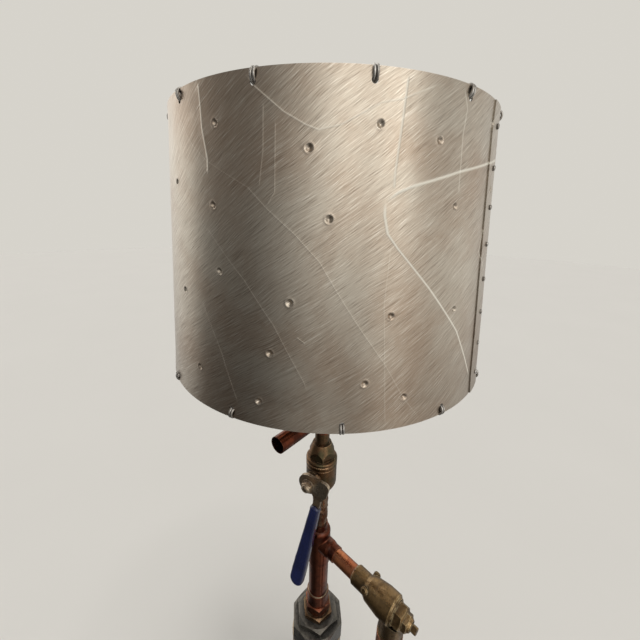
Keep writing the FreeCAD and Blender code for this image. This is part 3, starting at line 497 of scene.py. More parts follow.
def raise_bump(tree, shader, height, strength, distance):
    """Feeds a height to the shader's normal through a Bump node."""
    bump = node(tree, "Bump", {"Height": height, "Strength": strength, "Distance": distance})
    tree.links.new(bump.outputs[0], shader.inputs["Normal"])


def weathered_metal(name, base, cloud, hollow, worn, rough, scale, metallic=1.0, edge=0.0006, wear=6.0,
                    grime=1.4, dust=0.2, flecks=0.35):
    """Metal with patina clouds, painted shade and grime in its hollows, rubbed corners and a film of dust."""
    material, tree, shader = new_finish(name)
    patina = place(tree, "Patina", {"Scale": scale})
    shade_and_dirt = place(tree, "Hollow grime", {"Gain": grime})["Mask"]
    rubbed = place(tree, "Edge wear", {"Radius": edge, "Gain": wear})["Mask"]
    film = place(tree, "Dust", {"Amount": dust})["Mask"]
    # The hollow colour goes on the random flecks, and as painted shade on the hollows that ambient occlusion finds
    paint = coated(tree, base, (patina["Clouds"], cloud), (times(tree, patina["Flecks"], flecks), hollow),
                   (shade_and_dirt, hollow), (rubbed, worn), (film, colour(196, 190, 180)))
    tree.links.new(paint, shader.inputs["Base Color"])
    dull = plus(tree, times(tree, patina["Clouds"], rough[1] - rough[0]), rough[0])
    dull = plus(tree, plus(tree, dull, times(tree, shade_and_dirt, 0.25)), film)
    dull = minus(tree, dull, times(tree, rubbed, 0.08), clamp=True)
    tree.links.new(dull, shader.inputs["Roughness"])
    shine = minus(tree, metallic, times(tree, plus(tree, shade_and_dirt, film), 0.5))
    tree.links.new(maths(tree, "MAXIMUM", shine, 0.0), shader.inputs["Metallic"])
    return material, tree, shader


def cast_skin(tree, shader, scale, strength, pits=0.5):
    """Sand-cast relief."""
    grained = place(tree, "Cast grain", {"Scale": scale, "Pits": pits})
    raise_bump(tree, shader, grained["Height"], strength, 0.3 * MM)


def drawn_skin(tree, shader, strength, turn=0.0):
    """Scratches along Z, or turned about X by so many degrees."""
    turned = node(tree, "Mapping",
                  {"Vector": here(tree), "Rotation": (radians(turn), 0.0, 0.0)})
    marks = place(tree, "Drawn marks", {"Vector": turned.outputs[0]})
    raise_bump(tree, shader, marks["Height"], strength, 0.2 * MM)


# The metals: label; colours of the base, its clouds, its flecks and painted hollow shade, and its worn
# corners, each as 0 to 255 values or the name of a setting; low and high roughness; scale of the patina;
# what differs in weathered_metal; the skin and its values
METALS = {
    "iron": ("Dark cast iron", (84, 82, 78), (112, 108, 100), (26, 24, 22), (170, 162, 150),
             (0.26, 0.44), 70.0, {"metallic": 0.9, "edge": 0.0009, "wear": 7.0, "dust": 0.1},
             cast_skin, (900.0, 0.35)),
    "pale_brass": ("Pale brass", "brass", (168, 150, 124), (84, 70, 52), (244, 236, 220),
                   (0.22, 0.4), 34.0, {"wear": 5.0, "grime": 1.1}, drawn_skin, (0.25, 90)),
    "patina_brass": ("Brown brass", (124, 94, 68), (92, 84, 62), (36, 26, 19), (222, 180, 138),
                     (0.2, 0.36), 55.0, {"edge": 0.0008, "wear": 9.0, "dust": 0.05},
                     cast_skin, (1100.0, 0.2, 0.25)),
    "bronze": ("Cast bronze", (150, 122, 84), (104, 82, 54), (40, 28, 18), (232, 208, 160),
               (0.2, 0.36), 60.0, {"edge": 0.001, "wear": 9.0, "grime": 2.0, "dust": 0.05},
               cast_skin, (800.0, 0.5, 0.6)),
    "dark_copper": ("Dark copper", (140, 76, 50), (92, 48, 34), (38, 20, 14), (226, 150, 110),
                    (0.17, 0.3), 36.0, {"dust": 0.08}, drawn_skin, (0.18,)),
    "bright_copper": ("Bright copper", "copper", (170, 96, 66), (74, 38, 26), (252, 214, 184),
                      (0.15, 0.27), 30.0, {"wear": 4.0, "grime": 1.2, "dust": 0.08}, drawn_skin, (0.18,)),
    "arm": ("Browned copper arm", (118, 62, 42), (70, 38, 28), (30, 16, 11), (206, 132, 96),
            (0.2, 0.34), 32.0, {"wear": 4.0, "dust": 0.03}, drawn_skin, (0.18,)),
    "flux": ("Fluxed brown tube", (150, 122, 100), (104, 72, 52), (46, 32, 24), (224, 204, 182),
             (0.26, 0.46), 110.0, {"wear": 4.0, "flecks": 0.6, "dust": 0.05}, cast_skin, (420.0, 0.6, 0.7)),
    "solder": ("Solder", (176, 158, 132), (140, 116, 90), (80, 62, 48), (236, 224, 204),
               (0.2, 0.34), 160.0, {"dust": 0.05}, cast_skin, (500.0, 0.4, 0.2)),
    "worn_steel": ("Pitted zinc steel", (206, 190, 166), (160, 138, 114), (70, 54, 42), (240, 230, 214),
                   (0.24, 0.42), 90.0, {"flecks": 0.6, "grime": 1.0}, cast_skin, (650.0, 0.5, 0.8)),
    "wire": ("Plain wire", (206, 203, 198), (164, 158, 150), (70, 64, 58), (246, 246, 244),
             (0.18, 0.32), 120.0, {"edge": 0.0003, "grime": 1.0}, drawn_skin, (0.15,)),
    "chrome": ("Plated ball", (214, 214, 214), (190, 190, 188), (96, 92, 88), (250, 250, 250),
               (0.08, 0.2), 80.0, {"grime": 0.6, "dust": 0.0}, drawn_skin, (0.08, 90)),
    "bare_aluminium": ("Bare aluminium", (206, 205, 202), (176, 174, 170), (92, 88, 82), (246, 246, 244),
                       (0.28, 0.42), 100.0, {"grime": 0.8}, drawn_skin, (0.2, 90)),
}


def plastic(name, base, cloud, rough, inputs, scale=90.0, fine=900.0, strength=0.2, dust=0.2):
    """Moulded plastic, rubber or card: soft clouds of colour, hollows darkened with painted shade and grime, fine
    grain.
    """
    material, tree, shader = new_finish(name)
    patina = place(tree, "Patina", {"Scale": scale, "Low": 0.35, "High": 0.7})
    shade_and_dirt = place(tree, "Hollow grime", {"Gain": 0.8})["Mask"]
    film = place(tree, "Dust", {"Amount": dust})["Mask"]
    # The near black in the hollows is painted shade with some grime
    paint = coated(tree, base, (patina["Clouds"], cloud), (shade_and_dirt, colour(20, 18, 16)),
                   (film, colour(180, 174, 166)))
    tree.links.new(paint, shader.inputs["Base Color"])
    dull = plus(tree, times(tree, patina["Clouds"], rough[1] - rough[0]), rough[0])
    tree.links.new(plus(tree, dull, film), shader.inputs["Roughness"])
    for label, value in inputs.items():
        shader.inputs[label].default_value = value
    cast_skin(tree, shader, fine, strength, 0.1)
    return material


# The plastics: label, colours of the base and its clouds, low and high roughness, other inputs of the
# shader, and what differs in plastic
PLASTICS = {
    "blue_grip": ("Blue dipped vinyl", "grip", (20, 30, 78), (0.16, 0.26),
                  {"Coat Weight": 0.5, "Coat Roughness": 0.08, "Specular IOR Level": 0.6},
                  {"scale": 45.0, "fine": 350.0, "strength": 0.1, "dust": 0.04}),
    "rubber": ("Black rubber", (30, 30, 30), (46, 44, 42), (0.6, 0.8), {}, {}),
    "black_plastic": ("Black moulding", (26, 25, 25), (38, 37, 36), (0.3, 0.45), {"Coat Weight": 0.1}, {}),
    "seal": ("White seat plastic", (226, 225, 220), (206, 203, 196), (0.35, 0.5), {}, {}),
    "liner": ("Insulating card", (166, 142, 106), (132, 108, 76), (0.7, 0.85), {},
              {"scale": 60.0, "fine": 1400.0, "strength": 0.4}),
}


def glass_finish():
    """Frosted lamp glass with a slightly uneven white coat inside."""
    material, tree, shader = new_finish("Frosted bulb glass")
    patina = place(tree, "Patina", {"Scale": 30.0, "Low": 0.3, "High": 0.75})
    film = place(tree, "Dust", {"Amount": 0.25})["Mask"]
    paint = coated(tree, colour(243, 241, 234), (patina["Clouds"], colour(232, 228, 218)),
                   (film, colour(206, 200, 190)))
    tree.links.new(paint, shader.inputs["Base Color"])
    frost = plus(tree, times(tree, patina["Flecks"], 0.06), 0.32)
    tree.links.new(frost, shader.inputs["Roughness"])
    shader.inputs["Transmission Weight"].default_value = 0.35
    shader.inputs["IOR"].default_value = 1.5
    cast_skin(tree, shader, 1600.0, 0.05, 0.0)
    return material


def curve_points(curve, points):
    """Sets a Float Curve to points, from a straight two-point one."""
    for _ in range(len(points) - 2):
        curve.points.new(0.5, 0.5)
    for point, (across, along) in zip(curve.points, points):
        point.location = (across, along)
        point.handle_type = "VECTOR"


def follow(tree, along, points, low, high):
    """Value of a path's points as a Float Curve over 0 to 1, in the points' own unit."""
    curve = node(tree, "FloatCurve", {1: along})
    curve.mapping.extend = "HORIZONTAL"
    curve_points(curve.mapping.curves[0], points)
    curve.mapping.update()
    return plus(tree, times(tree, curve.outputs[0], high - low), low)


def crease_field(tree, azimuth, drop):
    """Summed height and painted-highlight lines of all the creases; azimuth in degrees, drop in millimetres."""
    height = line = None
    runs = [(path, False) for path in CREASES_DOWN] + [(path, True) for path in CREASES_ACROSS]
    for (strength, path), level in runs:
        steps = [point[0] if level else point[1] for point in path]
        first, last = steps[0], steps[-1]
        given = azimuth if level else drop
        along = maths(tree, "DIVIDE", minus(tree, given, first), last - first)
        low, high = (0.0, 170.0) if level else (-90.0, 90.0)
        values = [point[1] if level else point[0] for point in path]
        points = [((s - first) / (last - first), (v - low) / (high - low)) for s, v in zip(steps, values)]
        route = follow(tree, along, points, low, high)
        unit = MM if level else radians(1.0) * SHADE_MEAN_R
        offset = minus(tree, drop if level else azimuth, route)
        fold = place(tree, "Crease", {"Offset": times(tree, offset, unit), "Along": along,
                                      "Depth": strength, "Width": (0.35 + 0.75 * strength) * MM})
        height = fold["Height"] if height is None else plus(tree, height, fold["Height"])
        line = fold["Line"] if line is None else plus(tree, line, fold["Line"])
    return height, line


def unrolled(tree):
    """The shade's surface laid flat: (run round it, height, 0) in metres, with the cut at the lap,
    then the azimuth from the front in degrees, repeated at the back, and the drop from the rim in mm."""
    place_at = node(tree, "SeparateXYZ", {0: here(tree)}).outputs
    turned = maths(tree, "ARCTAN2", place_at["X"], times(tree, place_at["Y"], -1.0))
    from_lap = minus(tree, turned, LAP_START + LAP_WIDTH - pi)
    run = times(tree, maths(tree, "FLOORED_MODULO", from_lap, 2 * pi), SHADE_MEAN_R)
    flat = node(tree, "CombineXYZ", {0: run, 1: place_at["Z"]}).outputs[0]
    degrees = times(tree, turned, 180.0 / pi)
    half = minus(tree, maths(tree, "FLOORED_MODULO", plus(tree, degrees, 90.0), 180.0), 90.0)
    drop = times(tree, minus(tree, SHADE_HIGH, place_at["Z"]), 1.0 / MM)
    return flat, half, drop


def brush_strokes(tree, flat, angle, width, length):
    """Short scratches across the unrolled sheet at an angle."""
    turned = node(tree, "Mapping", {"Vector": flat, "Rotation": (0.0, 0.0, -angle)})
    drawn = node(tree, "Mapping",
                 {"Vector": turned.outputs[0], "Scale": (1 / length, 1 / width, 1.0)})
    return grain(tree, 1.0, 3.0, drawn.outputs[0], Roughness=0.6)


# How far the brush strokes swing out of their straight run
STROKE_SWAY = 6 * MM


def shade_finish(settings):
    """Warm grey sheet, wire-brushed in long diagonal strokes, creased by hand, a painted highlight on each crease.
    """
    material, tree, shader = new_finish("Brushed shade sheet")
    flat, azimuth, drop = unrolled(tree)
    bend = node(tree, "TexNoise", {"Vector": flat, "Scale": 22.0, "Detail": 1.0})
    swing = node(tree, "VectorMath", {0: bend.outputs["Color"], 1: (0.5, 0.5, 0.5)},
                 operation="SUBTRACT")
    swept = node(tree, "VectorMath", {0: swing.outputs[0], 1: (STROKE_SWAY, STROKE_SWAY, 0.0)},
                 operation="MULTIPLY")
    arcs = node(tree, "VectorMath", {0: flat, 1: swept.outputs[0]}, operation="ADD").outputs[0]
    steep = brush_strokes(tree, arcs, radians(40), 0.34 * MM, 14 * MM)
    shallow = brush_strokes(tree, arcs, radians(31), 0.5 * MM, 22 * MM)
    strokes = times(tree, plus(tree, steep, shallow), 0.5)
    height, line = crease_field(tree, azimuth, drop)
    patina = place(tree, "Patina", {"Scale": 13.0, "Low": 0.38, "High": 0.66})
    shade_and_dirt = place(tree, "Hollow grime", {"Reach": 0.0015, "Gain": 0.5})["Mask"]
    rubbed = place(tree, "Edge wear", {"Radius": 0.0005, "Gain": 4.0})["Mask"]
    paint = coated(tree, opaque(settings.colour),
                   (patina["Clouds"], colour(184, 166, 148)),
                   (spread(tree, strokes, 0.5, 0.66, 0.0, 0.75), colour(238, 232, 220)),
                   (spread(tree, strokes, 0.5, 0.34, 0.0, 0.7), colour(122, 108, 96)),
                   # Near white along each crease: a painted highlight on the fold
                   (times(tree, line, 0.8, clamp=True), colour(252, 247, 232)),
                   # Painted shade with some grime in the hollows, such as the lap's step
                   (shade_and_dirt, colour(60, 52, 46)),
                   (times(tree, rubbed, 0.6), colour(236, 230, 220)))
    tree.links.new(paint, shader.inputs["Base Color"])
    dull = plus(tree, spread(tree, strokes, 0.3, 0.7, 0.36, 0.27), times(tree, shade_and_dirt, 0.2))
    # The crease lines get rougher and lose most of their metal, so that their painted highlight shows
    tree.links.new(plus(tree, dull, times(tree, line, 0.15)), shader.inputs["Roughness"])
    bare = minus(tree, 1.0, times(tree, line, 0.75, clamp=True), clamp=True)
    tree.links.new(bare, shader.inputs["Metallic"])
    relief = plus(tree, times(tree, strokes, 0.2), times(tree, height, 0.6))
    raise_bump(tree, shader, relief, 0.5, 0.0006)
    return material


# Finishes by the record's material slots, and two more for single pieces
FINISHES = {}


def make_finishes(context):
    settings = context.scene.pipe_lamp_finish

    def tint(given):
        return opaque(getattr(settings, given)) if isinstance(given, str) else colour(*given)

    for name, (label, *tints, rough, scale, look, skin, values) in METALS.items():
        FINISHES[name], tree, shader = weathered_metal(label, *map(tint, tints), rough, scale, **look)
        skin(tree, shader, *values)
    for name, (label, base, cloud, rough, inputs, look) in PLASTICS.items():
        FINISHES[name] = plastic(label, tint(base), tint(cloud), rough, inputs, **look)
    FINISHES["bulb_glass"] = glass_finish()
    FINISHES["shade_steel"] = shade_finish(context.scene.pipe_lamp_shade)


class PIPELAMP_OT_finishes(bpy.types.Operator):
    """Makes the shared effects and all the finishes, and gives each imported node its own"""
    bl_idname = "pipelamp.finishes"
    bl_label = "Finishes"

    def execute(self, context):
        for make in EFFECTS:
            make()
        make_finishes(context)
        for piece in frame["record"]["subparts"]:
            made = frame["nodes"][piece["node"]]
            finish = FINISHES["arm" if piece["node"] == "side_arm" else piece["material_slot"]]
            made.data.materials.clear()
            made.data.materials.append(finish)
        return {"FINISHED"}


def azimuth_of(point):
    """Angle towards the right from the front."""
    return atan2(point.x, -point.y)


def shade_radius(z):
    """The sheet's outer radius at a height."""
    share = (z - SHADE_LOW) / SHADE_HEIGHT
    return SHADE_LOW_R + (SHADE_HIGH_R - SHADE_LOW_R) * share


def shade_point(azimuth, z, radius=None):
    radius = shade_radius(z) if radius is None else radius
    return Vector((radius * sin(azimuth), -radius * cos(azimuth), z))


class PIPELAMP_OT_shade(bpy.types.Operator):
    """Rolls the lapped drum shade, punches its dimples and drills its lace holes"""
    bl_idname = "pipelamp.shade"
    bl_label = "Shade sheet"

    around = 240
    rows = 56
    # A dimple's fine faces reach this many of its radii, each cut this often
    fine_reach = 2.4
    fine_cuts = 5
    # The sheet's wander round it and up it, and how far from a rim it is whole
    wander_round = 2.2
    wander_up = 14.0
    rim_hold = 12 * MM
    # The burr round a dimple: its height as a share of the depth, its place and width in radii
    burr = 0.12
    burr_at = 1.2
    burr_width = 0.22
    lap_gap = 0.1 * MM
    peg = 9 * MM

    def execute(self, context):
        settings = context.scene.pipe_lamp_shade
        sheet = primitive("cone", "shade_skin", vertices=self.around, radius1=SHADE_LOW_R,
                          radius2=SHADE_HIGH_R, depth=SHADE_HEIGHT, end_fill_type="NOTHING",
                          location=(0, 0, (SHADE_LOW + SHADE_HIGH) / 2))
        bpy.ops.object.mode_set(mode="EDIT")
        pick(sheet, lambda e: abs(e.verts[0].co.z - e.verts[1].co.z) > MM, "EDGE")
        bpy.ops.mesh.subdivide(number_cuts=self.rows - 1)
        marks = [shade_point(radians(a + turn), SHADE_HIGH - drop * MM)
                 for turn in (0, 180) for a, drop in DIMPLES]
        reach = settings.dimple_radius * self.fine_reach
        pick(sheet, lambda f: any((f.calc_center_median() - m).length < reach for m in marks))
        bpy.ops.mesh.subdivide(number_cuts=self.fine_cuts)
        self.dent(sheet, marks, settings)
        self.lap(sheet, settings)
        bpy.ops.mesh.select_all(action="SELECT")
        bpy.ops.mesh.normals_make_consistent(inside=False)
        leave_edit()
        apply_modifier(sheet, "SOLIDIFY", thickness=settings.sheet, offset=-1.0)
        cut_with(sheet, self.hole_cutter())
        settle(sheet, "shade", "shade_steel")
        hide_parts("shade_sheet")
        return {"FINISHED"}

    def dent(self, sheet, marks, settings):
        """Lets the sheet wander inward and punches the dimples."""
        mesh = bmesh.from_edit_mesh(sheet.data)
        radius = settings.dimple_radius
        for vertex in mesh.verts:
            point = vertex.co.copy()
            outward = Vector((point.x, point.y, 0)).normalized()
            swing = noise.noise(Vector((outward.x * self.wander_round, outward.y * self.wander_round,
                                        point.z * self.wander_up)))
            wander = 0.5 + 0.5 * swing
            edge = min(point.z - SHADE_LOW, SHADE_HIGH - point.z) / self.rim_hold
            inward = settings.slack * wander * min(1.0, edge)
            for mark in marks:
                share = (point - mark).length / radius
                if share < 1.6:
                    inward += settings.dimple_depth * max(0.0, 1 - share * share) ** 1.5
                    ridge = exp(-((share - self.burr_at) / self.burr_width) ** 2)
                    inward -= self.burr * settings.dimple_depth * ridge
            vertex.co = point - outward * max(inward, 0.0)
        bmesh.update_edit_mesh(sheet.data)

    def lap(self, sheet, settings):
        """Lays a second thickness over the seam."""
        start, stop = settings.lap_start, settings.lap_start + settings.lap_width
        pick(sheet, lambda f: start < azimuth_of(f.calc_center_median()) < stop)
        bpy.ops.mesh.duplicate()
        grow = 1 + (settings.sheet + self.lap_gap) / SHADE_LOW_R
        bpy.ops.transform.resize(value=(grow, grow, 1.0), center_override=(0, 0, 0))

    def hole_cutter(self):
        """One cutter of all the lace holes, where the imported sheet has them."""
        pegs = []
        for azimuth, z in LACE_HOLES:
            peg = primitive("cylinder", "peg", vertices=20, radius=LACE_HOLE_R, depth=self.peg)
            stand_on(peg, shade_point(azimuth, z), shade_point(azimuth, z, 1.0) - Vector((0, 0, z)))
            pegs.append(peg)
        return join(pegs)


def lace_places(name):
    """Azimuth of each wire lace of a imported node, from the gaps between its solids."""
    turns = sorted(azimuth_of(v.co) for v in frame["nodes"][name].data.vertices)
    groups = [[turns[0]]]
    for turn in turns[1:]:
        if turn - groups[-1][-1] > radians(5):
            groups.append([])
        groups[-1].append(turn)
    return [(group[0] + group[-1]) / 2 for group in groups]


LACE_HOLE_R = 1.5 * MM
LACE_REACH = 3.5 * MM
LACE_DROP = 5.1 * MM
LACE_HOLES = ([(angle, SHADE_HIGH - LACE_DROP) for angle in lace_places("top_laces")]
              + [(angle, SHADE_LOW + LACE_DROP) for angle in lace_places("bottom_laces")])


class PIPELAMP_OT_laces(bpy.types.Operator):
    """Winds each lace of two turns of wire through its hole and over the rim wire"""
    bl_idname = "pipelamp.laces"
    bl_label = "Wire laces"

    wire = 1.25 * MM
    pitch = 1.45 * MM
    # A loop's middle lies this far outside the rim wire's own middle
    hang = 0.9 * MM
    # How far the loops lean by turns, and where round each one its wire begins
    lean = 5.0
    lean_step = 2.4
    first_end = 2.4
    end_step = 1.1

    def execute(self, context):
        for node_name, hoop, name in (("top_laces", "top_ring", "laces_top"),
                                      ("bottom_laces", "bottom_ring", "laces_bottom")):
            low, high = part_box(hoop)
            hoop_z = (low.z + high.z) / 2
            hoop_r = high.x - (high.z - low.z) / 2
            loops = [self.loop(angle, hoop_r, hoop_z, turn)
                     for turn, angle in enumerate(lace_places(node_name))]
            laces = renamed(join(loops), name)
            settle(laces, "shade", "wire", smooth=60.0)
            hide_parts(node_name)
        return {"FINISHED"}

    def loop(self, azimuth, hoop_r, hoop_z, turn):
        """Two turns of wire about the tangent of the hoop at an azimuth, ends closed."""
        reach = LACE_REACH - self.wire / 2
        loop = primitive("circle", "lace", vertices=10, radius=self.wire / 2, location=(reach, 0, 0),
                         rotation=(radians(90), 0, 0))
        apply_modifier(loop, "SCREW", angle=2 * pi, screw_offset=self.pitch, iterations=2, steps=22,
                       render_steps=22, axis="Z", use_merge_vertices=False)
        select_only(loop)
        bpy.ops.object.mode_set(mode="EDIT")
        pick(loop, lambda e: e.is_boundary, "EDGE")
        bpy.ops.mesh.edge_face_add()
        bpy.ops.mesh.select_all(action="SELECT")
        bpy.ops.transform.translate(value=(0, 0, -self.pitch))
        leave_edit()
        tangent = Vector((cos(azimuth), sin(azimuth), 0))
        outward = Vector((sin(azimuth), -cos(azimuth), 0))
        spin = Matrix.Rotation(radians(self.lean * sin(turn * self.lean_step)), 4, outward)
        centre = outward * (hoop_r + self.hang) + Vector((0, 0, hoop_z))
        basis = Matrix((outward, UP, tangent)).transposed().to_4x4()
        begin = Matrix.Rotation(turn * self.end_step + self.first_end, 4, "Z")
        loop.matrix_world = Matrix.Translation(centre) @ spin @ basis @ begin
        select_only(loop)
        bake()
        return loop


class PIPELAMP_OT_rivets(bpy.types.Operator):
    """Closes the lapped seam of the shade with small rivets"""
    bl_idname = "pipelamp.rivets"
    bl_label = "Seam rivets"

    count = 8
    head_r = 1.5 * MM
    head_rise = 0.8 * MM
    # The row's place as a share of the lap's width
    row = 0.6

    def execute(self, context):
        settings = context.scene.pipe_lamp_shade
        azimuth = settings.lap_start + settings.lap_width * self.row
        heads = []
        for turn in range(self.count):
            z = SHADE_LOW + SHADE_HEIGHT * (turn + 0.5) / self.count
            head = primitive("uv_sphere", "rivet", (1.0, 1.0, self.head_rise / self.head_r), segments=20,
                             ring_count=12, radius=self.head_r)
            outer = shade_radius(z) + settings.sheet
            stand_on(head, shade_point(azimuth, z, outer), shade_point(azimuth, 0.0, 1.0))
            heads.append(head)
        rivets = renamed(join(heads), "seam_rivets")
        settle(rivets, "shade", "wire")
        return {"FINISHED"}


class PIPELAMP_OT_lever_nut(bpy.types.Operator):
    """Turns the lever's slotted domed nut with its washer"""
    bl_idname = "pipelamp.lever_nut"
    bl_label = "Lever nut"

    washer = 1.1 * MM
    hex_rise = 4.6 * MM
    slot_w = 1.3 * MM
    slot_deep = 1.6 * MM
    slot_turn = radians(24)
    # The hexagon's and the dome's radius as shares of the washer's
    hex_share = 0.93
    dome_share = 0.72
    sunk = 0.2 * MM

    def execute(self, context):
        low, high = reach_along("lever_nut", LEVER_POINT, LEVER_DIR)
        wide = widest("lever_nut", LEVER_POINT, LEVER_DIR, low, high)
        washer = self.round_piece("washer", 40, wide, low, low + self.washer, 0.3 * MM)
        hex_low = low + self.washer
        hex_high = hex_low + self.hex_rise
        body = self.round_piece("hexagon", 6, wide * self.hex_share, hex_low, hex_high, 0.5 * MM)
        dome_r = wide * self.dome_share
        base = hex_high - self.sunk
        dome = primitive("uv_sphere", "dome", (1.0, 1.0, (high - base) / dome_r), segments=36,
                         ring_count=20, radius=dome_r, location=(0, 0, base))
        for more in (body, dome):
            apply_modifier(washer, "BOOLEAN", operation="UNION", solver="EXACT", object=more)
            bpy.data.objects.remove(more)
        cut_with(washer, primitive("cube", "slot", (self.slot_w, wide * 3, self.slot_deep * 2),
                                   self.slot_turn, size=1.0, location=(0, 0, high)))
        stand_on(renamed(washer, "slotted_nut"), LEVER_POINT, LEVER_DIR)
        settle(washer, "lever", "worn_steel", smooth=30.0)
        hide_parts("lever_nut")
        return {"FINISHED"}

    def round_piece(self, name, sides, radius, low, high, bevel):
        piece = primitive("cylinder", name, vertices=sides, radius=radius, depth=high - low,
                          location=(0, 0, (low + high) / 2))
        apply_modifier(piece, "BEVEL", width=bevel, segments=3, limit_method="ANGLE",
                       angle_limit=radians(40))
        return piece


def softened(node_name, name, voxel, rounds):
    """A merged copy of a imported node's mesh, remeshed and smoothed."""
    select_only(frame["nodes"][node_name])
    bpy.ops.object.duplicate()
    piece = added(name)
    edit_all()
    bpy.ops.mesh.remove_doubles(threshold=0.02 * MM)
    leave_edit()
    apply_modifier(piece, "REMESH", mode="VOXEL", voxel_size=voxel)
    apply_modifier(piece, "SMOOTH", factor=0.5, iterations=rounds)
    return piece


def nudge(piece, push):
    """Moves each vertex of a piece by the vector that push() gives for it."""
    select_only(piece)
    bpy.ops.object.mode_set(mode="EDIT")
    mesh = bmesh.from_edit_mesh(piece.data)
    for vertex in mesh.verts:
        vertex.co += push(vertex)
    bmesh.update_edit_mesh(piece.data)
    leave_edit()


class PIPELAMP_OT_grip(bpy.types.Operator):
    """Softens the dipped grip and rolls its lip"""
    bl_idname = "pipelamp.grip"
    bl_label = "Dipped grip"

    voxel = 0.6 * MM
    rounds = 5
    # The lip's rise, its place below the grip's mouth and its width
    lip = 0.45 * MM
    lip_below = 2.4 * MM
    lip_width = 1.3 * MM
    # The sag of the dip and the scale of its noise
    sag = 0.25 * MM
    sag_scale = 140.0

    def execute(self, context):
        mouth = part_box("lever_grip")[1].z

        def swell(vertex):
            below = mouth - vertex.co.z
            bulge = self.lip * exp(-((below - self.lip_below) / self.lip_width) ** 2)
            return vertex.normal * (bulge + self.sag * noise.noise(vertex.co * self.sag_scale))

        grip = softened("lever_grip", "dipped_grip", self.voxel, self.rounds)
        nudge(grip, swell)
        settle(grip, "lever", "blue_grip", smooth=60.0)
        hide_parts("lever_grip")
        return {"FINISHED"}


class PIPELAMP_OT_tail(bpy.types.Operator):
    """Covers the tail tube in lumps of old flux and solder"""
    bl_idname = "pipelamp.tail"
    bl_label = "Tail tube"

    voxel = 0.7 * MM
    rounds = 1
    rise = 0.8 * MM
    # The ends that sit in other pieces stay bare, and the lumps grow over a short way beyond them
    bare = 15 * MM
    grow = 3 * MM
    # What lies nearer the axis than this share of the radius is the bore
    skin_share = 0.94
    # The lumps: their level, then the height and scale of the large and the small ones
    level = 0.55
    large = (0.9, 210.0)
    small = (0.5, 520.0)

    def execute(self, context):
        low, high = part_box("tail_tube")

        def crust(vertex):
            outward = Vector((vertex.co.x, vertex.co.y, 0))
            ends = min(vertex.co.z - low.z, high.z - vertex.co.z)
            if outward.length <= high.x * self.skin_share or ends <= self.bare:
                return Vector()
            lump = self.level
            for height, scale in (self.large, self.small):
                lump += height * noise.noise(vertex.co * scale)
            share = min(1.0, (ends - self.bare) / self.grow)
            return outward.normalized() * self.rise * max(0.0, lump) * share

        tube = softened("tail_tube", "fluxed_tail", self.voxel, self.rounds)
        nudge(tube, crust)
        settle(tube, "frame", "dark_copper", smooth=60.0, finish="flux")
        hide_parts("tail_tube")
        return {"FINISHED"}


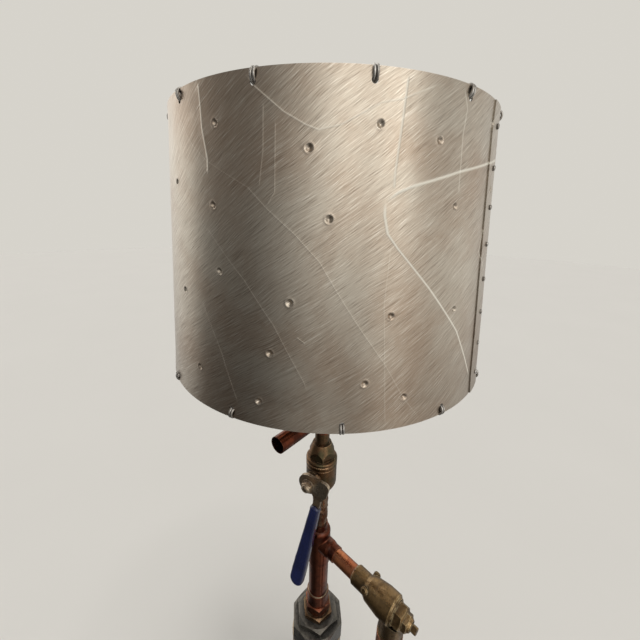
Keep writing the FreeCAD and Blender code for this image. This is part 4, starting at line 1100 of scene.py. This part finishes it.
class PIPELAMP_OT_stage(bpy.types.Operator):
    """Lays the pale floor, lights the scene and sets the camera"""
    bl_idname = "pipelamp.stage"
    bl_label = "Stage"

    floor_r = 6.0
    # The floor lies this far under the lamp's feet
    floor_drop = 0.5 * MM
    floor_rough = 0.8
    # How much lighter the floor's clouds get
    floor_lift = 1.04

    def execute(self, context):
        settings = context.scene.pipe_lamp_stage
        self.floor(settings)
        self.background(context, settings)
        self.sun(settings)
        self.camera(context)
        context.scene.view_settings.view_transform = "Standard"
        return {"FINISHED"}

    def floor(self, settings):
        floor = primitive("circle", "floor", vertices=96, radius=self.floor_r, fill_type="NGON",
                          location=(0, 0, -self.floor_drop))
        material, tree, shader = new_finish("Pale floor")
        clouds = grain(tree, 3.0, 4.0)
        lighter = opaque([value * self.floor_lift for value in settings.floor])
        tree.links.new(blend(tree, clouds, opaque(settings.floor), lighter), shader.inputs["Base Color"])
        shader.inputs["Roughness"].default_value = self.floor_rough
        floor.data.materials.append(material)
        floor.visible_glossy = False

    def background(self, context, settings):
        """Pale surroundings for the camera, a room with a window to mirror, plain light for all else."""
        world = context.scene.world or bpy.data.worlds.new("World")
        context.scene.world = world
        world.use_nodes = True
        tree = world.node_tree
        tree.nodes.clear()
        rays = node(tree, "LightPath").outputs
        seen = maths(tree, "MAXIMUM", rays["Is Camera Ray"], rays["Is Transmission Ray"])
        direction = node(tree, "TexCoord").outputs["Generated"]
        parts = node(tree, "SeparateXYZ", {0: direction}).outputs
        turned = maths(tree, "ARCTAN2", parts["X"], times(tree, parts["Y"], -1.0))
        raised = maths(tree, "ARCSINE", parts["Z"])
        lit = 0.0
        for around, up in ROOM:
            shown = times(tree, self.level(tree, turned, around, 180.0, ROOM_PEAK),
                          self.level(tree, raised, up, 60.0, 1.0))
            lit = plus(tree, shown, lit)
        plain = node(tree, "Background", {"Color": (1.0, 1.0, 1.0, 1.0), "Strength": settings.fill})
        pale = node(tree, "Background", {"Color": opaque(settings.backdrop), "Strength": 1.0})
        room = times(tree, lit, settings.room)
        mirrored = node(tree, "Background", {"Color": ROOM_TINT, "Strength": room})
        mix = node(tree, "MixShader", {0: rays["Is Glossy Ray"], 1: plain.outputs[0],
                                                 2: mirrored.outputs[0]})
        mix = node(tree, "MixShader", {0: seen, 1: mix.outputs[0], 2: pale.outputs[0]})
        out = tree.nodes.new("ShaderNodeOutputWorld")
        tree.links.new(mix.outputs[0], out.inputs[0])

    def level(self, tree, angle, points, span, peak):
        """The value of a run of (degrees, value) points at an angle in radians, 0 to peak."""
        share = spread_evenly(tree, angle, -radians(span), radians(span))
        steps = [((degrees + span) / (2 * span), value / peak) for degrees, value in points]
        return follow(tree, share, steps, 0.0, peak)

    def sun(self, settings):
        """One soft sun from above, a little to the right in front, and not seen by reflections."""
        select_none()
        bpy.ops.object.light_add(type="SUN", location=(0.4, -0.3, 1.6))
        sun = bpy.context.active_object
        sun.name = "Sun"
        sun.data.energy = settings.key
        sun.data.angle = SUN_ANGLE
        sun.rotation_euler = SUN_WAY.to_track_quat("-Z", "Y").to_euler()
        sun.visible_glossy = False

    def camera(self, context):
        select_none()
        bpy.ops.object.camera_add(location=CAMERA_AT)
        camera = bpy.context.active_object
        camera.name = "Camera"
        tilt = Matrix.Rotation(radians(90 - CAMERA_TILT), 4, "X")
        roll = Matrix.Rotation(radians(CAMERA_ROLL), 4, "Z")
        camera.rotation_euler = (tilt @ roll).to_euler()
        camera.data.sensor_width = SENSOR
        camera.data.lens = SENSOR * CAMERA_FOCUS
        camera.data.clip_start = 0.005
        context.scene.camera = camera


class PIPELAMP_PT_panel(bpy.types.Panel):
    """Lists the lamp's operators and settings"""
    bl_label = "Pipe lamp"
    bl_idname = "PIPELAMP_PT_panel"
    bl_space_type = "VIEW_3D"
    bl_region_type = "UI"
    bl_category = "Pipe lamp"

    def draw(self, context):
        layout = self.layout
        for group in GROUPS:
            settings = getattr(context.scene, group)
            for name in settings.__annotations__:
                layout.prop(settings, name)
        for step in STEPS:
            layout.operator(step.bl_idname)


GROUPS = {"pipe_lamp_shade": PipeLampShade, "pipe_lamp_finish": PipeLampFinish,
          "pipe_lamp_stage": PipeLampStage}
STEPS = (PIPELAMP_OT_finishes, PIPELAMP_OT_shade, PIPELAMP_OT_laces, PIPELAMP_OT_rivets,
         PIPELAMP_OT_lever_nut, PIPELAMP_OT_grip, PIPELAMP_OT_tail, PIPELAMP_OT_stage)
CLASSES = (*GROUPS.values(), *STEPS, PIPELAMP_PT_panel)


def register():
    for each in CLASSES:
        bpy.utils.register_class(each)
    for name, group in GROUPS.items():
        setattr(bpy.types.Scene, name, bpy.props.PointerProperty(type=group))


def unregister():
    for name in GROUPS:
        delattr(bpy.types.Scene, name)
    for each in reversed(CLASSES):
        bpy.utils.unregister_class(each)


def main():
    register()
    bpy.ops.pipelamp.finishes()
    bpy.ops.pipelamp.shade()
    bpy.ops.pipelamp.laces()
    bpy.ops.pipelamp.rivets()
    bpy.ops.pipelamp.lever_nut()
    bpy.ops.pipelamp.grip()
    bpy.ops.pipelamp.tail()
    bpy.ops.pipelamp.stage()


if __name__ == "__main__":
    main()
